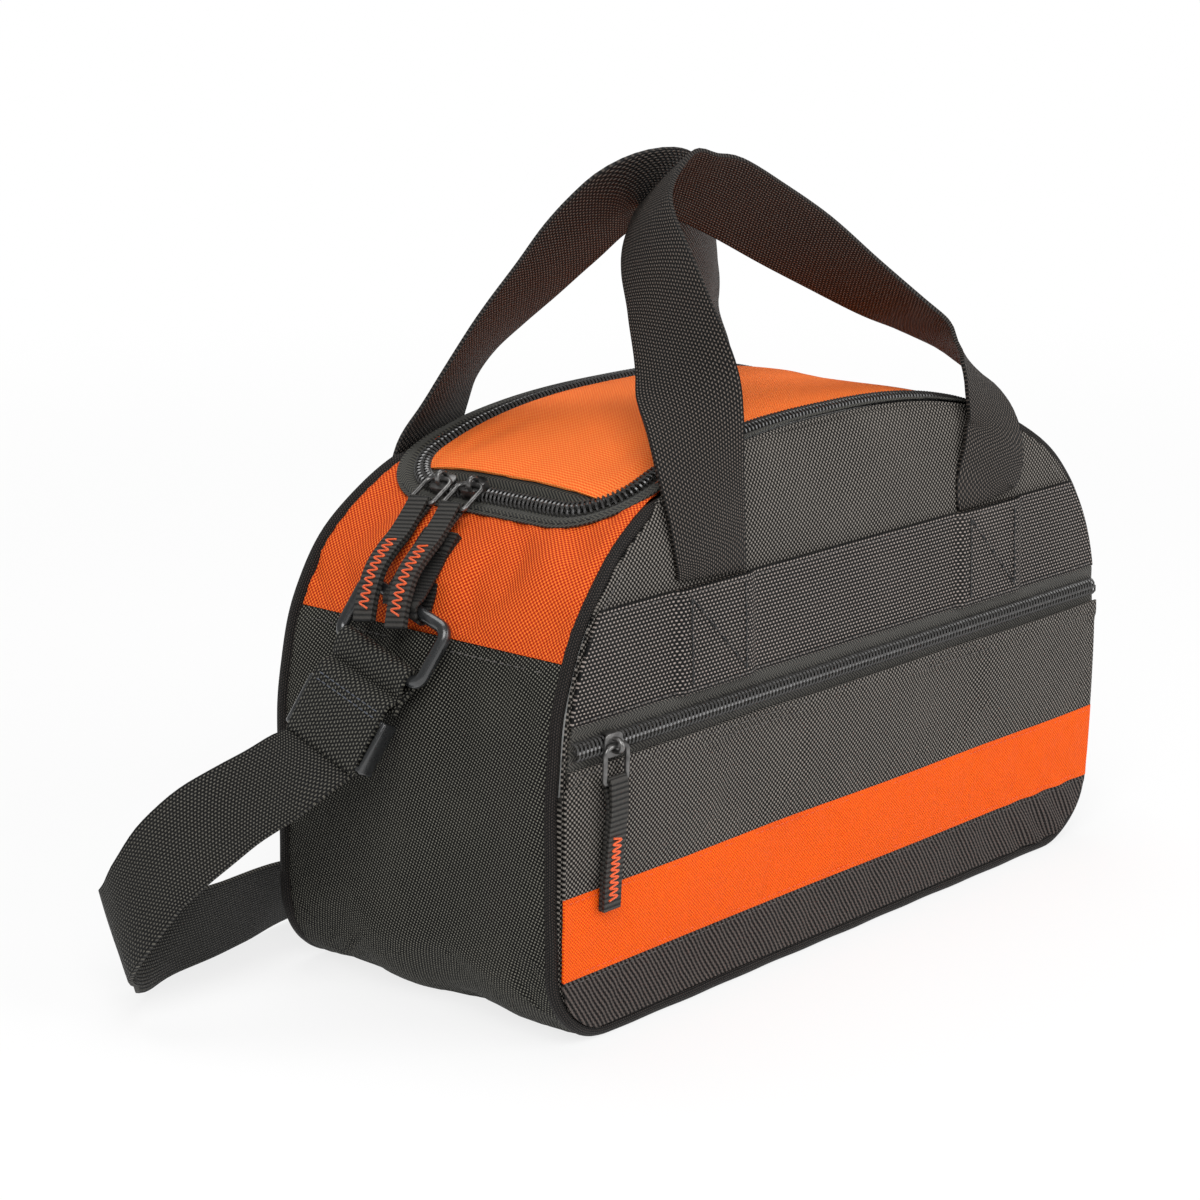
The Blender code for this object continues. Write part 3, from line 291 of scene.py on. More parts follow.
@dataclass(frozen=True)
class PolyesterCloth:
    """Coated polyester cloth in a plain weave whose light yarns show as rows of dots."""

    name: str
    slot: str
    light: Colour
    dark: Colour
    thread: float = 0.00068
    turn: float = 0.0
    rib: float = 0.0
    low: float = -0.40
    high: float = 0.60

    def make(self) -> Material:
        """Return the material.

        Returns:
            The material.
        """
        dye = Dye(self.name)
        u, v, where = dye.flat()
        across = u * math.cos(self.turn) + v * math.sin(self.turn)
        up = v * math.cos(self.turn) - u * math.sin(self.turn)
        drift = dye.noise(where, 0.004, 1.0)
        weft = (across * (math.pi / self.thread) + drift * 0.7).sine()
        warp = (up * (math.pi / self.thread) + drift * 0.7).sine()
        knots = weft * warp
        if self.rib:
            knots = knots * (1 - self.rib) + (across * (math.pi / self.thread)).sine() * self.rib
        fibre = dye.noise(where, 0.00035, 2.0)
        cloud = dye.noise(where, 0.035, 3.0)
        mix = knots.ramp(self.low, self.high) * (0.72 + 0.56 * fibre) + (cloud - 0.5) * 0.16
        colour = dye.mix(mix, self.dark, self.light)
        bump = dye.bump(knots * 0.5 + 0.5 + fibre * 0.25, self.thread * 0.50)
        rough = 0.62 + 0.16 * cloud + 0.10 * fibre
        return dye.finish(colour, rough, bump, Specular_IOR_Level=0.22)


@dataclass(frozen=True)
class KnobWebbing:
    """Webbing whose yarns stand up in offset rows of knobs, with dark gaps between them."""

    name: str
    slot: str
    light: Colour
    dark: Colour
    along: float = 0.0019
    across: float = 0.0016
    slant: float = 0.35
    wave: float = 0.0

    def make(self) -> Material:
        """Return the material.

        Returns:
            The material.
        """
        dye = Dye(self.name)
        u, v, where = dye.flat()
        drift = dye.noise(where, 0.006, 1.0)
        column = v * (1 / self.across) + (u * (0.5 / self.along)).zigzag() * self.wave + 40.0
        number = column.floor()
        odd = (number * 0.5).fraction() * 2.0
        inside = column.fraction() - 0.5
        row = u * (1 / self.along) + odd * 0.5 + inside * (odd * 2.0 - 1.0) * self.slant + drift * 0.25
        hump = (row * math.pi).sine().size()
        wall = (inside * math.pi + math.pi / 2).sine()
        knob = ((hump * (1 - self.wave * 0.6) + self.wave * 0.6) * wall).power(0.9)
        fibre = dye.noise(where, 0.0004, 2.0)
        cloud = dye.noise(where, 0.05, 2.0)
        mix = knob.ramp(0.50, 1.0) * (0.5 + 0.9 * fibre) + (cloud - 0.5) * 0.10
        colour = dye.mix(mix, self.dark, self.light)
        bump = dye.bump(knob + fibre * 0.2, self.across * 0.42)
        rough = 0.50 + 0.25 * fibre
        return dye.finish(colour, rough, bump, Specular_IOR_Level=0.3)


@dataclass(frozen=True)
class HerringboneTape:
    """Zip tape, woven in a fine herringbone."""

    name: str
    slot: str = "webbing"
    light: Colour = (0.040, 0.040, 0.033)
    dark: Colour = (0.010, 0.010, 0.008)
    stripe: float = 0.0024
    line: float = 0.0009

    def make(self) -> Material:
        """Return the material.

        Returns:
            The material.
        """
        dye = Dye(self.name)
        u, v, where = dye.flat()
        bend = (v * (1 / self.stripe) + 20.0).zigzag()
        twill = ((u * (1 / self.line) + bend * 1.6) * (2 * math.pi)).sine()
        fibre = dye.noise(where, 0.0004, 2.0)
        cloud = dye.noise(where, 0.02, 2.0)
        mix = twill.ramp(-0.6, 0.9) * (0.5 + 0.6 * fibre) + (cloud - 0.5) * 0.2
        colour = dye.mix(mix, self.dark, self.light)
        bump = dye.bump(twill * 0.5 + fibre * 0.4, 0.00014)
        return dye.finish(colour, 0.55 + 0.3 * fibre, bump, Sheen_Weight=0.1, Specular_IOR_Level=0.4)


@dataclass(frozen=True)
class Grosgrain:
    """Ribbed ribbon, for the zip pulls and the tabs."""

    name: str
    slot: str = "webbing"
    light: Colour = (0.060, 0.055, 0.049)
    dark: Colour = (0.003, 0.003, 0.002)
    rib: float = 0.0019

    def make(self) -> Material:
        """Return the material.

        Returns:
            The material.
        """
        dye = Dye(self.name)
        u, v, where = dye.flat()
        ridge = (u * (math.pi / self.rib)).sine().size()
        fine = (v * (2 * math.pi / 0.0007)).sine()
        fibre = dye.noise(where, 0.0004, 2.0)
        mix = ridge.ramp(0.25, 0.98) * (0.55 + 0.3 * fibre + 0.15 * fine)
        colour = dye.mix(mix, self.dark, self.light)
        bump = dye.bump(ridge + fine * 0.12 + fibre * 0.15, 0.00055)
        return dye.finish(colour, 0.5 + 0.3 * fibre, bump, Specular_IOR_Level=0.45)


@dataclass(frozen=True)
class SewingThread:
    """Twisted sewing thread."""

    name: str
    slot: str
    colour: Colour
    shine: float = 0.45

    def make(self) -> Material:
        """Return the material.

        Returns:
            The material.
        """
        dye = Dye(self.name)
        where = dye.solid()
        twist = dye.noise(where, 0.0005, 1.0)
        cloud = dye.noise(where, 0.01, 1.0)
        dull = tuple(part * 0.55 for part in self.colour)
        colour = dye.mix(twist.ramp(0.3, 0.7) * 0.7 + cloud * 0.3, dull, self.colour)
        bump = dye.bump(twist, 0.0001)
        return dye.finish(colour, 1.0 - self.shine + 0.2 * twist, bump, Sheen_Weight=0.2)


@dataclass(frozen=True)
class Nylon:
    """Glossy black nylon of the zip coils."""

    name: str
    slot: str = "zip_chain"
    colour: Colour = (0.050, 0.048, 0.046)

    def make(self) -> Material:
        """Return the material.

        Returns:
            The material.
        """
        dye = Dye(self.name)
        where = dye.solid()
        grain = dye.noise(where, 0.0012, 2.0)
        dark = tuple(part * 0.4 for part in self.colour)
        colour = dye.mix(grain, dark, self.colour)
        bump = dye.bump(grain, 0.00005)
        return dye.finish(colour, 0.16 + 0.2 * grain, bump, Specular_IOR_Level=0.8)


@dataclass(frozen=True)
class MouldedPlastic:
    """Moulded black plastic with a fine grain and greyer patches that are painted highlights; the patches are
    also rougher and raised.
    """

    name: str
    slot: str = "black_plastic"
    colour: Colour = (0.014, 0.015, 0.016)

    def make(self) -> Material:
        """Return the material.

        Returns:
            The material.
        """
        dye = Dye(self.name)
        where = dye.solid()
        grain = dye.noise(where, 0.0005, 2.0)
        highlight_patch = dye.noise(where, 0.006, 3.0)
        # Painted highlights: greyer patches mixed into the black base colour.
        grey = tuple(part * 3.2 for part in self.colour)
        colour = dye.mix(highlight_patch.ramp(0.52, 0.85), self.colour, grey)
        bump = dye.bump(grain * 0.6 + highlight_patch * 0.6, 0.00008)
        return dye.finish(colour, 0.16 + 0.20 * highlight_patch + 0.06 * grain, bump, Specular_IOR_Level=0.7,
                          Coat_Weight=0.5, Coat_Roughness=0.12)


@dataclass(frozen=True)
class GunMetal:
    """Dark plated die-cast metal of the sliders and wire bails."""

    name: str
    slot: str = "dark_metal"
    colour: Colour = (0.22, 0.215, 0.21)

    def make(self) -> Material:
        """Return the material.

        Returns:
            The material.
        """
        dye = Dye(self.name)
        where = dye.solid()
        grain = dye.noise(where, 0.0006, 3.0)
        wear = dye.noise(where, 0.004, 3.0)
        dark = tuple(part * 0.45 for part in self.colour)
        colour = dye.mix(wear.ramp(0.3, 0.75), dark, self.colour)
        bump = dye.bump(grain * 0.5 + wear * 0.5, 0.00006)
        return dye.finish(colour, 0.22 + 0.22 * wear, bump, Metallic=0.85, Specular_IOR_Level=0.6)


@dataclass(frozen=True)
class FoilLining:
    """Pale grey foil lining, crinkled and a little shiny."""

    name: str
    slot: str = "foil"

    def make(self) -> Material:
        """Return the material.

        Returns:
            The material.
        """
        dye = Dye(self.name)
        where = dye.solid()
        crease = dye.noise(where, 0.016, 4.0)
        fine = dye.noise(where, 0.003, 2.0)
        colour = dye.mix(crease, (0.36, 0.37, 0.38), (0.66, 0.67, 0.69))
        bump = dye.bump(crease + fine * 0.12, 0.0012)
        return dye.finish(colour, 0.24 + 0.25 * crease, bump, Metallic=0.45)


@dataclass(frozen=True)
class ClosedFoam:
    """White closed-cell foam between the cloth and the lining."""

    name: str
    slot: str = "foam"

    def make(self) -> Material:
        """Return the material.

        Returns:
            The material.
        """
        dye = Dye(self.name)
        where = dye.solid()
        cells = Tint(dye.tree, dye.node("ShaderNodeTexVoronoi",
                                        inputs={"Vector": where, "Scale": 900.0}).outputs[0])
        cloud = dye.noise(where, 0.02, 2.0)
        colour = dye.mix(cells.ramp(0.0, 0.7) * 0.6 + cloud * 0.4, (0.60, 0.60, 0.58), (0.82, 0.82, 0.80))
        bump = dye.bump(cells, 0.0002)
        return dye.finish(colour, 0.82 + 0.12 * cloud, bump)


def shade(red: float, green: float, blue: float) -> Colour:
    """Turn a colour as seen on a screen, 0 to 255, into linear light."""
    return tuple((part / 255.0) ** 2.2 for part in (red, green, blue))


class Finishes(Enum):
    """Every finish on the bag."""

    FRONT_CLOTH = PolyesterCloth("front_cloth", "grey_fabric", shade(136, 130, 123), shade(4, 3, 3), 0.00098,
                                 low=-0.2, high=0.75)
    SIDE_CLOTH = PolyesterCloth("side_cloth", "grey_fabric", shade(126, 124, 114), shade(4, 3, 3), 0.00084,
                                turn=0.4, low=0.0, high=0.9)
    HEM_CLOTH = PolyesterCloth("hem_cloth", "grey_fabric", shade(92, 84, 80), shade(9, 7, 7), 0.00088,
                               turn=0.62, rib=0.6)
    ORANGE_SIDE = PolyesterCloth("orange_side", "orange_fabric", shade(255, 122, 46), shade(176, 42, 6),
                                 0.00084)
    # The lid's orange is painted lighter and whiter than the side's, as painted top light and sheen on the
    # same orange cloth.
    ORANGE_LID = PolyesterCloth("orange_lid", "orange_fabric", shade(255, 148, 72), shade(240, 92, 30),
                                rib=0.45)
    ORANGE_STRIPE = PolyesterCloth("orange_stripe", "orange_fabric", shade(255, 112, 14), shade(222, 66, 4))
    BAND = KnobWebbing("band_webbing", "webbing", shade(160, 149, 142), shade(3, 2, 2),
                       along=0.0019, across=0.00138, slant=0.10)
    HANDLE = KnobWebbing("handle_webbing", "webbing", shade(112, 102, 94), shade(3, 2, 2), along=0.0015,
                         across=0.00115)
    STRAP = KnobWebbing("strap_webbing", "webbing", shade(102, 99, 91), shade(4, 4, 3), along=0.00145,
                        across=0.0013, slant=0.1, wave=0.12)
    SLEEVE = KnobWebbing("sleeve_webbing", "webbing", shade(110, 108, 99), shade(4, 4, 3), along=0.0016,
                         across=0.00145, slant=0.0, wave=0.30)
    PIPING = KnobWebbing("piping_cloth", "webbing", shade(66, 58, 53), shade(7, 5, 5), along=0.0011,
                         across=0.0009, slant=0.5)
    TAPE = HerringboneTape("zip_tape", light=shade(78, 76, 67), dark=shade(5, 5, 4), stripe=0.0044,
                           line=0.0017)
    POCKET_TAPE = HerringboneTape("pocket_tape", light=shade(88, 85, 78), dark=shade(7, 6, 6), stripe=0.0044,
                                  line=0.0016)
    PULL = Grosgrain("pull_ribbon")
    TAB = Grosgrain("tab_ribbon", light=shade(48, 46, 43), dark=shade(8, 7, 7), rib=0.0016)
    COIL = Nylon("zip_coil")
    PLASTIC = MouldedPlastic("moulded_plastic")
    METAL = GunMetal("gun_metal")
    FOIL = FoilLining("foil_lining")
    FOAM = ClosedFoam("closed_foam")
    GREY_THREAD = SewingThread("grey_thread", "grey_fabric", shade(84, 80, 78))
    DARK_THREAD = SewingThread("dark_thread", "webbing", shade(8, 8, 11))
    BLUE_THREAD = SewingThread("blue_grey_thread", "webbing", shade(70, 76, 88), 0.6)
    ORANGE_THREAD = SewingThread("orange_thread", "orange_fabric", shade(255, 100, 34), 0.5)

    def dress(self, piece: Piece) -> Piece:
        """Give a piece this finish.

        Args:
            piece: the piece.

        Returns:
            The same piece.
        """
        name = self.value.name
        made = bpy.data.materials.get(name) or self.value.make()
        piece.data.materials.clear()
        piece.data.materials.append(made)
        return piece


@dataclass(frozen=True)
class BagForm:
    """The bag's outline and the places on it, from the same sizes as its solids."""

    length: float = 0.336
    depth: float = 0.136
    height: float = 0.203
    shoulder: float = 0.070
    base_corner: float = 0.030
    power_along: float = 2.55
    power_up: float = 3.1
    puff: float = 0.0035
    top_lean: float = 0.010
    lean_drop: float = 0.053
    piping: float = 0.0019
    seam: float = 0.0003
    cloth: float = 0.0009
    panel_in: float = 0.0012
    side_seam_drop: float = 0.064
    base_seam_in: float = 0.012
    zip_in: float = 0.0134
    tongue_in: float = 0.048
    tongue_corner: float = 0.022
    end_in: float = 0.056
    band_drop: float = 0.085
    webbing_width: float = 0.038
    leg_spacing: float = 0.170
    arch_steps: int = 90
    corner_steps: int = 20

    @cached_property
    def outline(self) -> tuple[Array, Array, Array]:
        """Return the outline's points, its normals and the places of the points.

        Returns:
            Points, normals and places of the outline.
        """
        turn = np.linspace(0, math.pi / 2, self.arch_steps + 1)
        half = self.length / 2
        rise = self.height - self.shoulder
        top = np.stack([half * np.abs(np.sin(turn)) ** (2 / self.power_along),
                        self.shoulder + rise * np.abs(np.cos(turn)) ** (2 / self.power_up)], 1)
        turn = np.linspace(0, math.pi / 2, self.corner_steps + 1)
        corner = np.stack([half - self.base_corner * (1 - np.cos(turn)),
                           self.base_corner * (1 - np.sin(turn))], 1)
        right = np.vstack([top, corner, [[0.0, 0.0]]])
        left = right[-2:0:-1] * [-1, 1]
        points = np.vstack([right, left])
        ahead = np.roll(points, -1, axis=0) - points
        lengths = np.linalg.norm(ahead, axis=1)
        edges = np.stack([-ahead[:, 1], ahead[:, 0]], 1) / lengths[:, None]
        normals = edges + np.roll(edges, 1, axis=0)
        normals /= np.linalg.norm(normals, axis=1)[:, None]
        places = np.concatenate([[0.0], np.cumsum(lengths)])
        return points, normals, places

    @property
    def total(self) -> float:
        """Return the outline's whole length."""
        return float(self.outline[2][-1])

    def at(self, place: Array, lift: Array | float = 0.0) -> Array:
        """Return X and Z for places, lifted off the outline.

        Args:
            place: places along the outline.
            lift: distance out from the outline.

        Returns:
            X and Z of each place.
        """
        points, normals, places = self.outline
        wrapped = np.mod(np.asarray(place, float), self.total)
        k = np.clip(np.searchsorted(places, wrapped, side="right") - 1, 0, len(points) - 1)
        share = ((wrapped - places[k]) / (places[k + 1] - places[k]))[..., None]
        j = (k + 1) % len(points)
        point = points[k] * (1 - share) + points[j] * share
        normal = normals[k] * (1 - share) + normals[j] * share
        return point + normal * np.asarray(lift, float)[..., None]

    def out(self, place: float) -> Vector:
        """Return the direction straight off the outline at a place."""
        x, z = self.at(np.array(place), 1.0) - self.at(np.array(place), 0.0)
        return Vector((x, 0.0, z)).normalized()

    def place_at(self, axis: int, value: float) -> float:
        """Return the first place down the right side where X or Z reaches a value.

        Args:
            axis: 0 for X, 1 for Z.
            value: the coordinate to find.

        Returns:
            The place.
        """
        points, _, places = self.outline
        for k in range(len(points) // 2):
            low, high = points[k][axis], points[k + 1][axis]
            if low != high and min(low, high) <= value <= max(low, high):
                return float(places[k] + (value - low) / (high - low) * (places[k + 1] - places[k]))
        raise ValueError("the outline doesn't reach this value")

    @property
    def cell(self) -> float:
        """Return the room that the piping takes."""
        return 2 * self.piping + self.seam

    @property
    def hinge(self) -> float:
        """Return the place of the lid's hinge line."""
        return self.place_at(0, self.length / 2 - self.end_in)

    @property
    def tongue(self) -> float:
        """Return the place of the zip's line at the end of the tongue."""
        return -self.place_at(0, self.length / 2 - self.tongue_in)

    @property
    def side_seam(self) -> float:
        """Return the place of the seam between the orange and the grey gusset."""
        return self.place_at(1, self.height - self.side_seam_drop)

    @property
    def base_seam(self) -> float:
        """Return the place of the seam between the gusset and the base."""
        return self.total / 2 - (self.length / 2 - self.base_corner - self.base_seam_in)

    @property
    def zip_half(self) -> float:
        """Return half the distance between the two straight sides of the zip's line."""
        return self.depth / 2 - self.cell - self.zip_in

    @property
    def band_low(self) -> float:
        """Return the height of the bands' lower edge."""
        return self.height - self.band_drop

    def lean(self, height: Array) -> Array:
        """Return how far the large panels lean in at a height."""
        start = self.height - self.lean_drop
        return self.top_lean * np.clip((np.asarray(height, float) - start) / self.lean_drop, 0, None) ** 2

    def face(self, height: Array) -> Array:
        """Return the distance of a large panel's outer face from the middle plane."""
        puff = self.puff * np.sin(math.pi * np.asarray(height, float) / self.height)
        return self.depth / 2 - self.panel_in - self.lean(height) + puff

    def gusset_edge(self, place: Array) -> Array:
        """Return the half width of the gusset between the two pipings."""
        return self.depth / 2 - self.cell - self.lean(self.at(place)[..., 1])

    def tongue_half(self, place: Array, offset: float) -> Array:
        """Return the half width of the zip's line, moved outwards, at a place.

        Args:
            place: places along the outline.
            offset: distance out from the cut line.

        Returns:
            The half width.
        """
        centre = self.tongue + self.tongue_corner
        radius = self.tongue_corner + offset
        reach = np.sqrt(np.clip(radius ** 2 - (centre - np.asarray(place, float)) ** 2, 0, None))
        bent = self.zip_half - self.tongue_corner + reach
        return np.where(np.asarray(place) >= centre, self.zip_half + offset, bent)

    def loop(self, inset: float) -> tuple[Array, Array]:
        """Return the right half of the outline moved in, as X against rising Z.

        Args:
            inset: distance in from the outline.

        Returns:
            The X and Z of the loop.
        """
        points, _, places = self.outline
        half = len(points) // 2 + 1
        moved = self.at(places[:half], -inset)
        order = np.argsort(moved[:, 1])
        return moved[order, 1], moved[order, 0]


FORM = BagForm()


def ripple(u: Array, v: Array, length: float, seed: float) -> Array:
    """Return a soft, uneven wave between about -1 and 1, for cloth that isn't quite flat.

    Args:
        u: the first coordinate.
        v: the second coordinate.
        length: the length of one wave in metres.
        seed: the number that sets the pattern.

    Returns:
        Waves of about -1 to 1.
    """
    total = np.zeros_like(np.asarray(u, float))
    for k in range(5):
        turn = seed * 1.7 + k * 2.4
        stretch = length * (0.7 + 0.35 * k)
        total += np.sin((u * math.cos(turn) + v * math.sin(turn)) * 2 * math.pi / stretch + seed * 3.1
                        + k * 1.3)
    return total / 3.0


def eased(share: Array) -> Array:
    """Turn a share from 0 to 1 into a smooth step."""
    return share * share * (3 - 2 * share)


def spread(spots: Array, y: Array) -> Array:
    """Put Y between the X and Z of places on the arch."""
    return np.stack([spots[:, 0], y, spots[:, 1]], 1)


def travelled(points: Array) -> Array:
    """Return how far along a route each of its points is."""
    return np.concatenate([[0.0], np.cumsum(np.linalg.norm(np.diff(points, axis=0), axis=1))])


def sampled(place: float, places: Array, rows: Array) -> Array:
    """Return the first three numbers of the rows at a place between them."""
    return np.array([np.interp(place, places, rows[:, axis]) for axis in range(3)])


def outward(direction: Vector, out: Vector) -> Vector:
    """Flip a direction that doesn't lead outwards."""
    return direction if direction.dot(out) > 0 else -direction


def facing(side: Side) -> Callable[[Array], Array]:
    """Return the direction field of a large panel's outer face."""
    return lambda points: np.tile([0.0, float(side.value), 0.0], (len(points), 1))


def placed(columns: Sequence[Sequence[float]], origin: Sequence[float]) -> Matrix:
    """Return the matrix with three columns and an origin.

    Args:
        columns: the three axes.
        origin: the origin.

    Returns:
        The matrix.
    """
    spot = Matrix.Identity(4)
    for k, column in enumerate(columns):
        spot.col[k] = (*column, 0.0)
    spot.col[3] = (*origin, 1.0)
    return spot


def rounded_loop(centre: Vector, across: Vector, up: Vector, size: tuple[float, float],
                 bends: tuple[float, float], steps: int) -> Array:
    """Return the points of a rectangle with rounded corners.

    Args:
        centre: the centre.
        across: the direction across.
        up: the direction up.
        size: the width and height.
        bends: the corner radii above and below.
        steps: steps in each corner.

    Returns:
        The points of the loop.
    """
    points = []
    for quarter, (sx, sy) in enumerate(((1, 1), (-1, 1), (-1, -1), (1, -1))):
        bend = bends[0] if sy > 0 else bends[1]
        for k in range(steps + 1):
            angle = math.pi / 2 * (quarter + k / steps)
            points.append(centre + across * (sx * (size[0] / 2 - bend) + bend * math.cos(angle))
                          + up * (sy * (size[1] / 2 - bend) + bend * math.sin(angle)))
    return np.array(points)


def round_bar(bar: Vector, loop: float, out: Vector, down: Vector, side: Vector) -> list[tuple]:
    """Return the rows of a half turn round a bar, from behind it to its front.

    Args:
        bar: the middle of the bar.
        loop: the radius of the fold.
        out: the direction away from the bag.
        down: the direction that the ribbon leaves in.
        side: the direction across the ribbon.

    Returns:
        The rows of the half turn.
    """
    angles = [math.pi / 6 * k for k in range(7)]
    return [(*(bar + loop * (-out * math.cos(t) - down * math.sin(t))), *side) for t in angles]


def folded(line: Sequence[Vector], sides: Sequence[Vector], out: Vector, loop: float,
           apart: float) -> tuple[list[tuple], list[tuple]]:
    """Return the rows of a ribbon folded over a bar, and those of its front layer alone.

    Args:
        line: the points of the middle line.
        sides: the direction across at each point.
        out: the direction away from the bag.
        loop: the radius of the fold.
        apart: half the distance of the layers.

    Returns:
        All the rows, and the front layer's rows.
    """
    front, back = [], []
    for k in range(1, len(line)):
        ahead = line[min(k + 1, len(line) - 1)] - line[k - 1]
        normal = outward(ahead.cross(sides[k]).normalized(), out)
        front.append((*(line[k] + normal * apart), *sides[k]))
        back.append((*(line[k] - normal * apart), *sides[k]))
    start = (line[1] - line[0]).normalized()
    normal = outward(start.cross(sides[0]).normalized(), out)
    arc = round_bar(line[0], loop, normal, start, sides[0])
    return list(reversed(back)) + arc + front, front


class Bench:
    """The modelling bench: every piece starts and ends here."""

    @staticmethod
    def linked(name: str, data: bpy.types.ID) -> Piece:
        """Put a new object with its data into the scene.

        Args:
            name: the name it gets.
            data: the data it shows.

        Returns:
            The new object.
        """
        made = bpy.data.objects.new(name, data)
        bpy.context.scene.collection.objects.link(made)
        return made

    @staticmethod
    def turn_faces_out(piece: Piece) -> None:
        """Turn the faces of closed parts outwards.

        Args:
            piece: the piece.
        """
        Bench.take(piece)
        bpy.ops.object.mode_set(mode="EDIT")
        bpy.ops.mesh.select_all(action="SELECT")
        bpy.ops.mesh.normals_make_consistent(inside=False)
        bpy.ops.object.mode_set(mode="OBJECT")

    @staticmethod
    def clear() -> None:
        """Leave edit mode and deselect everything."""
        if bpy.context.object is not None and bpy.context.object.mode != "OBJECT":
            bpy.ops.object.mode_set(mode="OBJECT")
        bpy.ops.object.select_all(action="DESELECT")

    @staticmethod
    def take(piece: Piece) -> None:
        """Make a piece the only one selected.

        Args:
            piece: the piece.
        """
        Bench.clear()
        piece.select_set(True)
        bpy.context.view_layer.objects.active = piece

    @staticmethod
    def named(name: str) -> Piece:
        """Name the piece that was just added.

        Args:
            name: the name it gets.

        Returns:
            The object.
        """
        piece = bpy.context.object
        piece.name = name
        piece.data.name = name
        return piece

    @staticmethod
    def apply(piece: Piece, kind: str, **settings: object) -> None:
        """Add a modifier with its settings and apply it.

        Args:
            piece: the piece.
            kind: the kind of modifier.
            **settings: its settings.
        """
        Bench.take(piece)
        modifier = piece.modifiers.new(kind.lower(), kind)
        for key, value in settings.items():
            setattr(modifier, key, value)
        bpy.ops.object.modifier_apply(modifier=modifier.name)

    @staticmethod
    def smooth(piece: Piece, degrees: float = 40.0) -> None:
        """Shade a piece smooth, apart from its sharp edges."""
        Bench.take(piece)
        bpy.ops.object.shade_smooth_by_angle(angle=math.radians(degrees))

    @staticmethod
    def settle_place(piece: Piece) -> None:
        """Put a piece's place into its mesh."""
        Bench.take(piece)
        bpy.ops.object.transform_apply(location=True, rotation=True, scale=True)

    @staticmethod
    def sheet(name: str, columns: int, rows: int, surface: Surface) -> Piece:
        """Add a grid and lay it on a surface, with its cut lengths as its UV map.

        Args:
            name: the piece's name.
            columns: faces along the first direction.
            rows: faces along the second.
            surface: gives points and cut lengths for shares along both directions.

        Returns:
            The piece.
        """
        Bench.clear()
        bpy.ops.mesh.primitive_grid_add(x_subdivisions=columns, y_subdivisions=rows, size=1.0, calc_uvs=True)
        piece = Bench.named(name)
        mesh = piece.data
        flat = np.zeros(len(mesh.vertices) * 3)
        mesh.vertices.foreach_get("co", flat)
        flat = flat.reshape(-1, 3)
        points, cut = surface(np.clip(flat[:, 0] + 0.5, 0, 1), np.clip(flat[:, 1] + 0.5, 0, 1))
        mesh.vertices.foreach_set("co", np.ascontiguousarray(points, dtype=np.float32).ravel())
        index = np.zeros(len(mesh.loops), dtype=np.int32)
        mesh.loops.foreach_get("vertex_index", index)
        mesh.uv_layers[0].data.foreach_set("uv", np.ascontiguousarray(cut[index], dtype=np.float32).ravel())
        mesh.update()
        return piece

    @staticmethod
    def face_out(piece: Piece, towards: Callable[[Array], Array]) -> None:
        """Turn a sheet's faces so that they look along a direction field.

        Args:
            piece: the piece.
            towards: the direction field that its faces follow.
        """
        mesh = piece.data
        centres = np.array([polygon.center for polygon in mesh.polygons])
        normals = np.array([polygon.normal for polygon in mesh.polygons])
        if float(np.sum(normals * towards(centres))) < 0:
            mesh.flip_normals()

    @staticmethod
    def settle(piece: Piece, pinned: Array, pressure: float, slack: float, cap: float) -> None:
        """Let cloth settle between its pinned seams by simulation.

        Args:
            piece: a single layer of cloth.
            pinned: which points the seams hold.
            pressure: how hard the padding pushes it out.
            slack: how much larger it is cut than its place.
            cap: the furthest that a point may move.
        """
        mesh = piece.data
        start = np.array([vertex.co for vertex in mesh.vertices])
        group = piece.vertex_groups.new(name="pinned")
        group.add([int(k) for k in np.nonzero(pinned)[0]], 1.0, "REPLACE")
        cloth = piece.modifiers.new("settle", "CLOTH")
        cloth.settings.quality = 6
        cloth.settings.mass = 0.2
        cloth.settings.tension_stiffness = 12.0
        cloth.settings.compression_stiffness = 12.0
        cloth.settings.bending_stiffness = 0.12
        cloth.settings.vertex_group_mass = group.name
        cloth.settings.shrink_min = -slack
        cloth.settings.use_pressure = True
        cloth.settings.uniform_pressure_force = pressure
        cloth.settings.effector_weights.gravity = 0.0
        cloth.collision_settings.use_collision = False
        cloth.point_cache.frame_start = 1
        cloth.point_cache.frame_end = CLOTH_FRAMES
        scene = bpy.context.scene
        for number in range(1, CLOTH_FRAMES + 1):
            scene.frame_set(number)
        shape = piece.evaluated_get(bpy.context.evaluated_depsgraph_get())
        moved = np.array([vertex.co for vertex in shape.data.vertices]) - start
        piece.modifiers.remove(cloth)
        piece.vertex_groups.remove(group)
        reach = np.linalg.norm(moved, axis=1)
        soft = cap * np.tanh(reach / cap) / np.maximum(reach, 1e-9)
        mesh.vertices.foreach_set("co", (start + moved * soft[:, None]).astype(np.float32).ravel())
        mesh.update()
        scene.frame_set(1)
        LOG.info("settled %s by up to %.1f mm", piece.name, 1000 * float((reach * soft).max()))

    @staticmethod
    def ready(piece: Piece, finish: Finishes, body: str, nodes: Sequence[str] = ()) -> Piece:
        """Dress a piece, let it ride on its body and stand for its nodes.

        Args:
            piece: the piece.
            finish: its finish.
            body: the body it moves with.
            nodes: the solids it stands for.

        Returns:
            The same piece.
        """
        finish.dress(piece)
        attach(piece, body)
        if nodes:
            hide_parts(*nodes)
        LOG.info("%s: %d faces", piece.name, len(piece.data.polygons))
        return piece

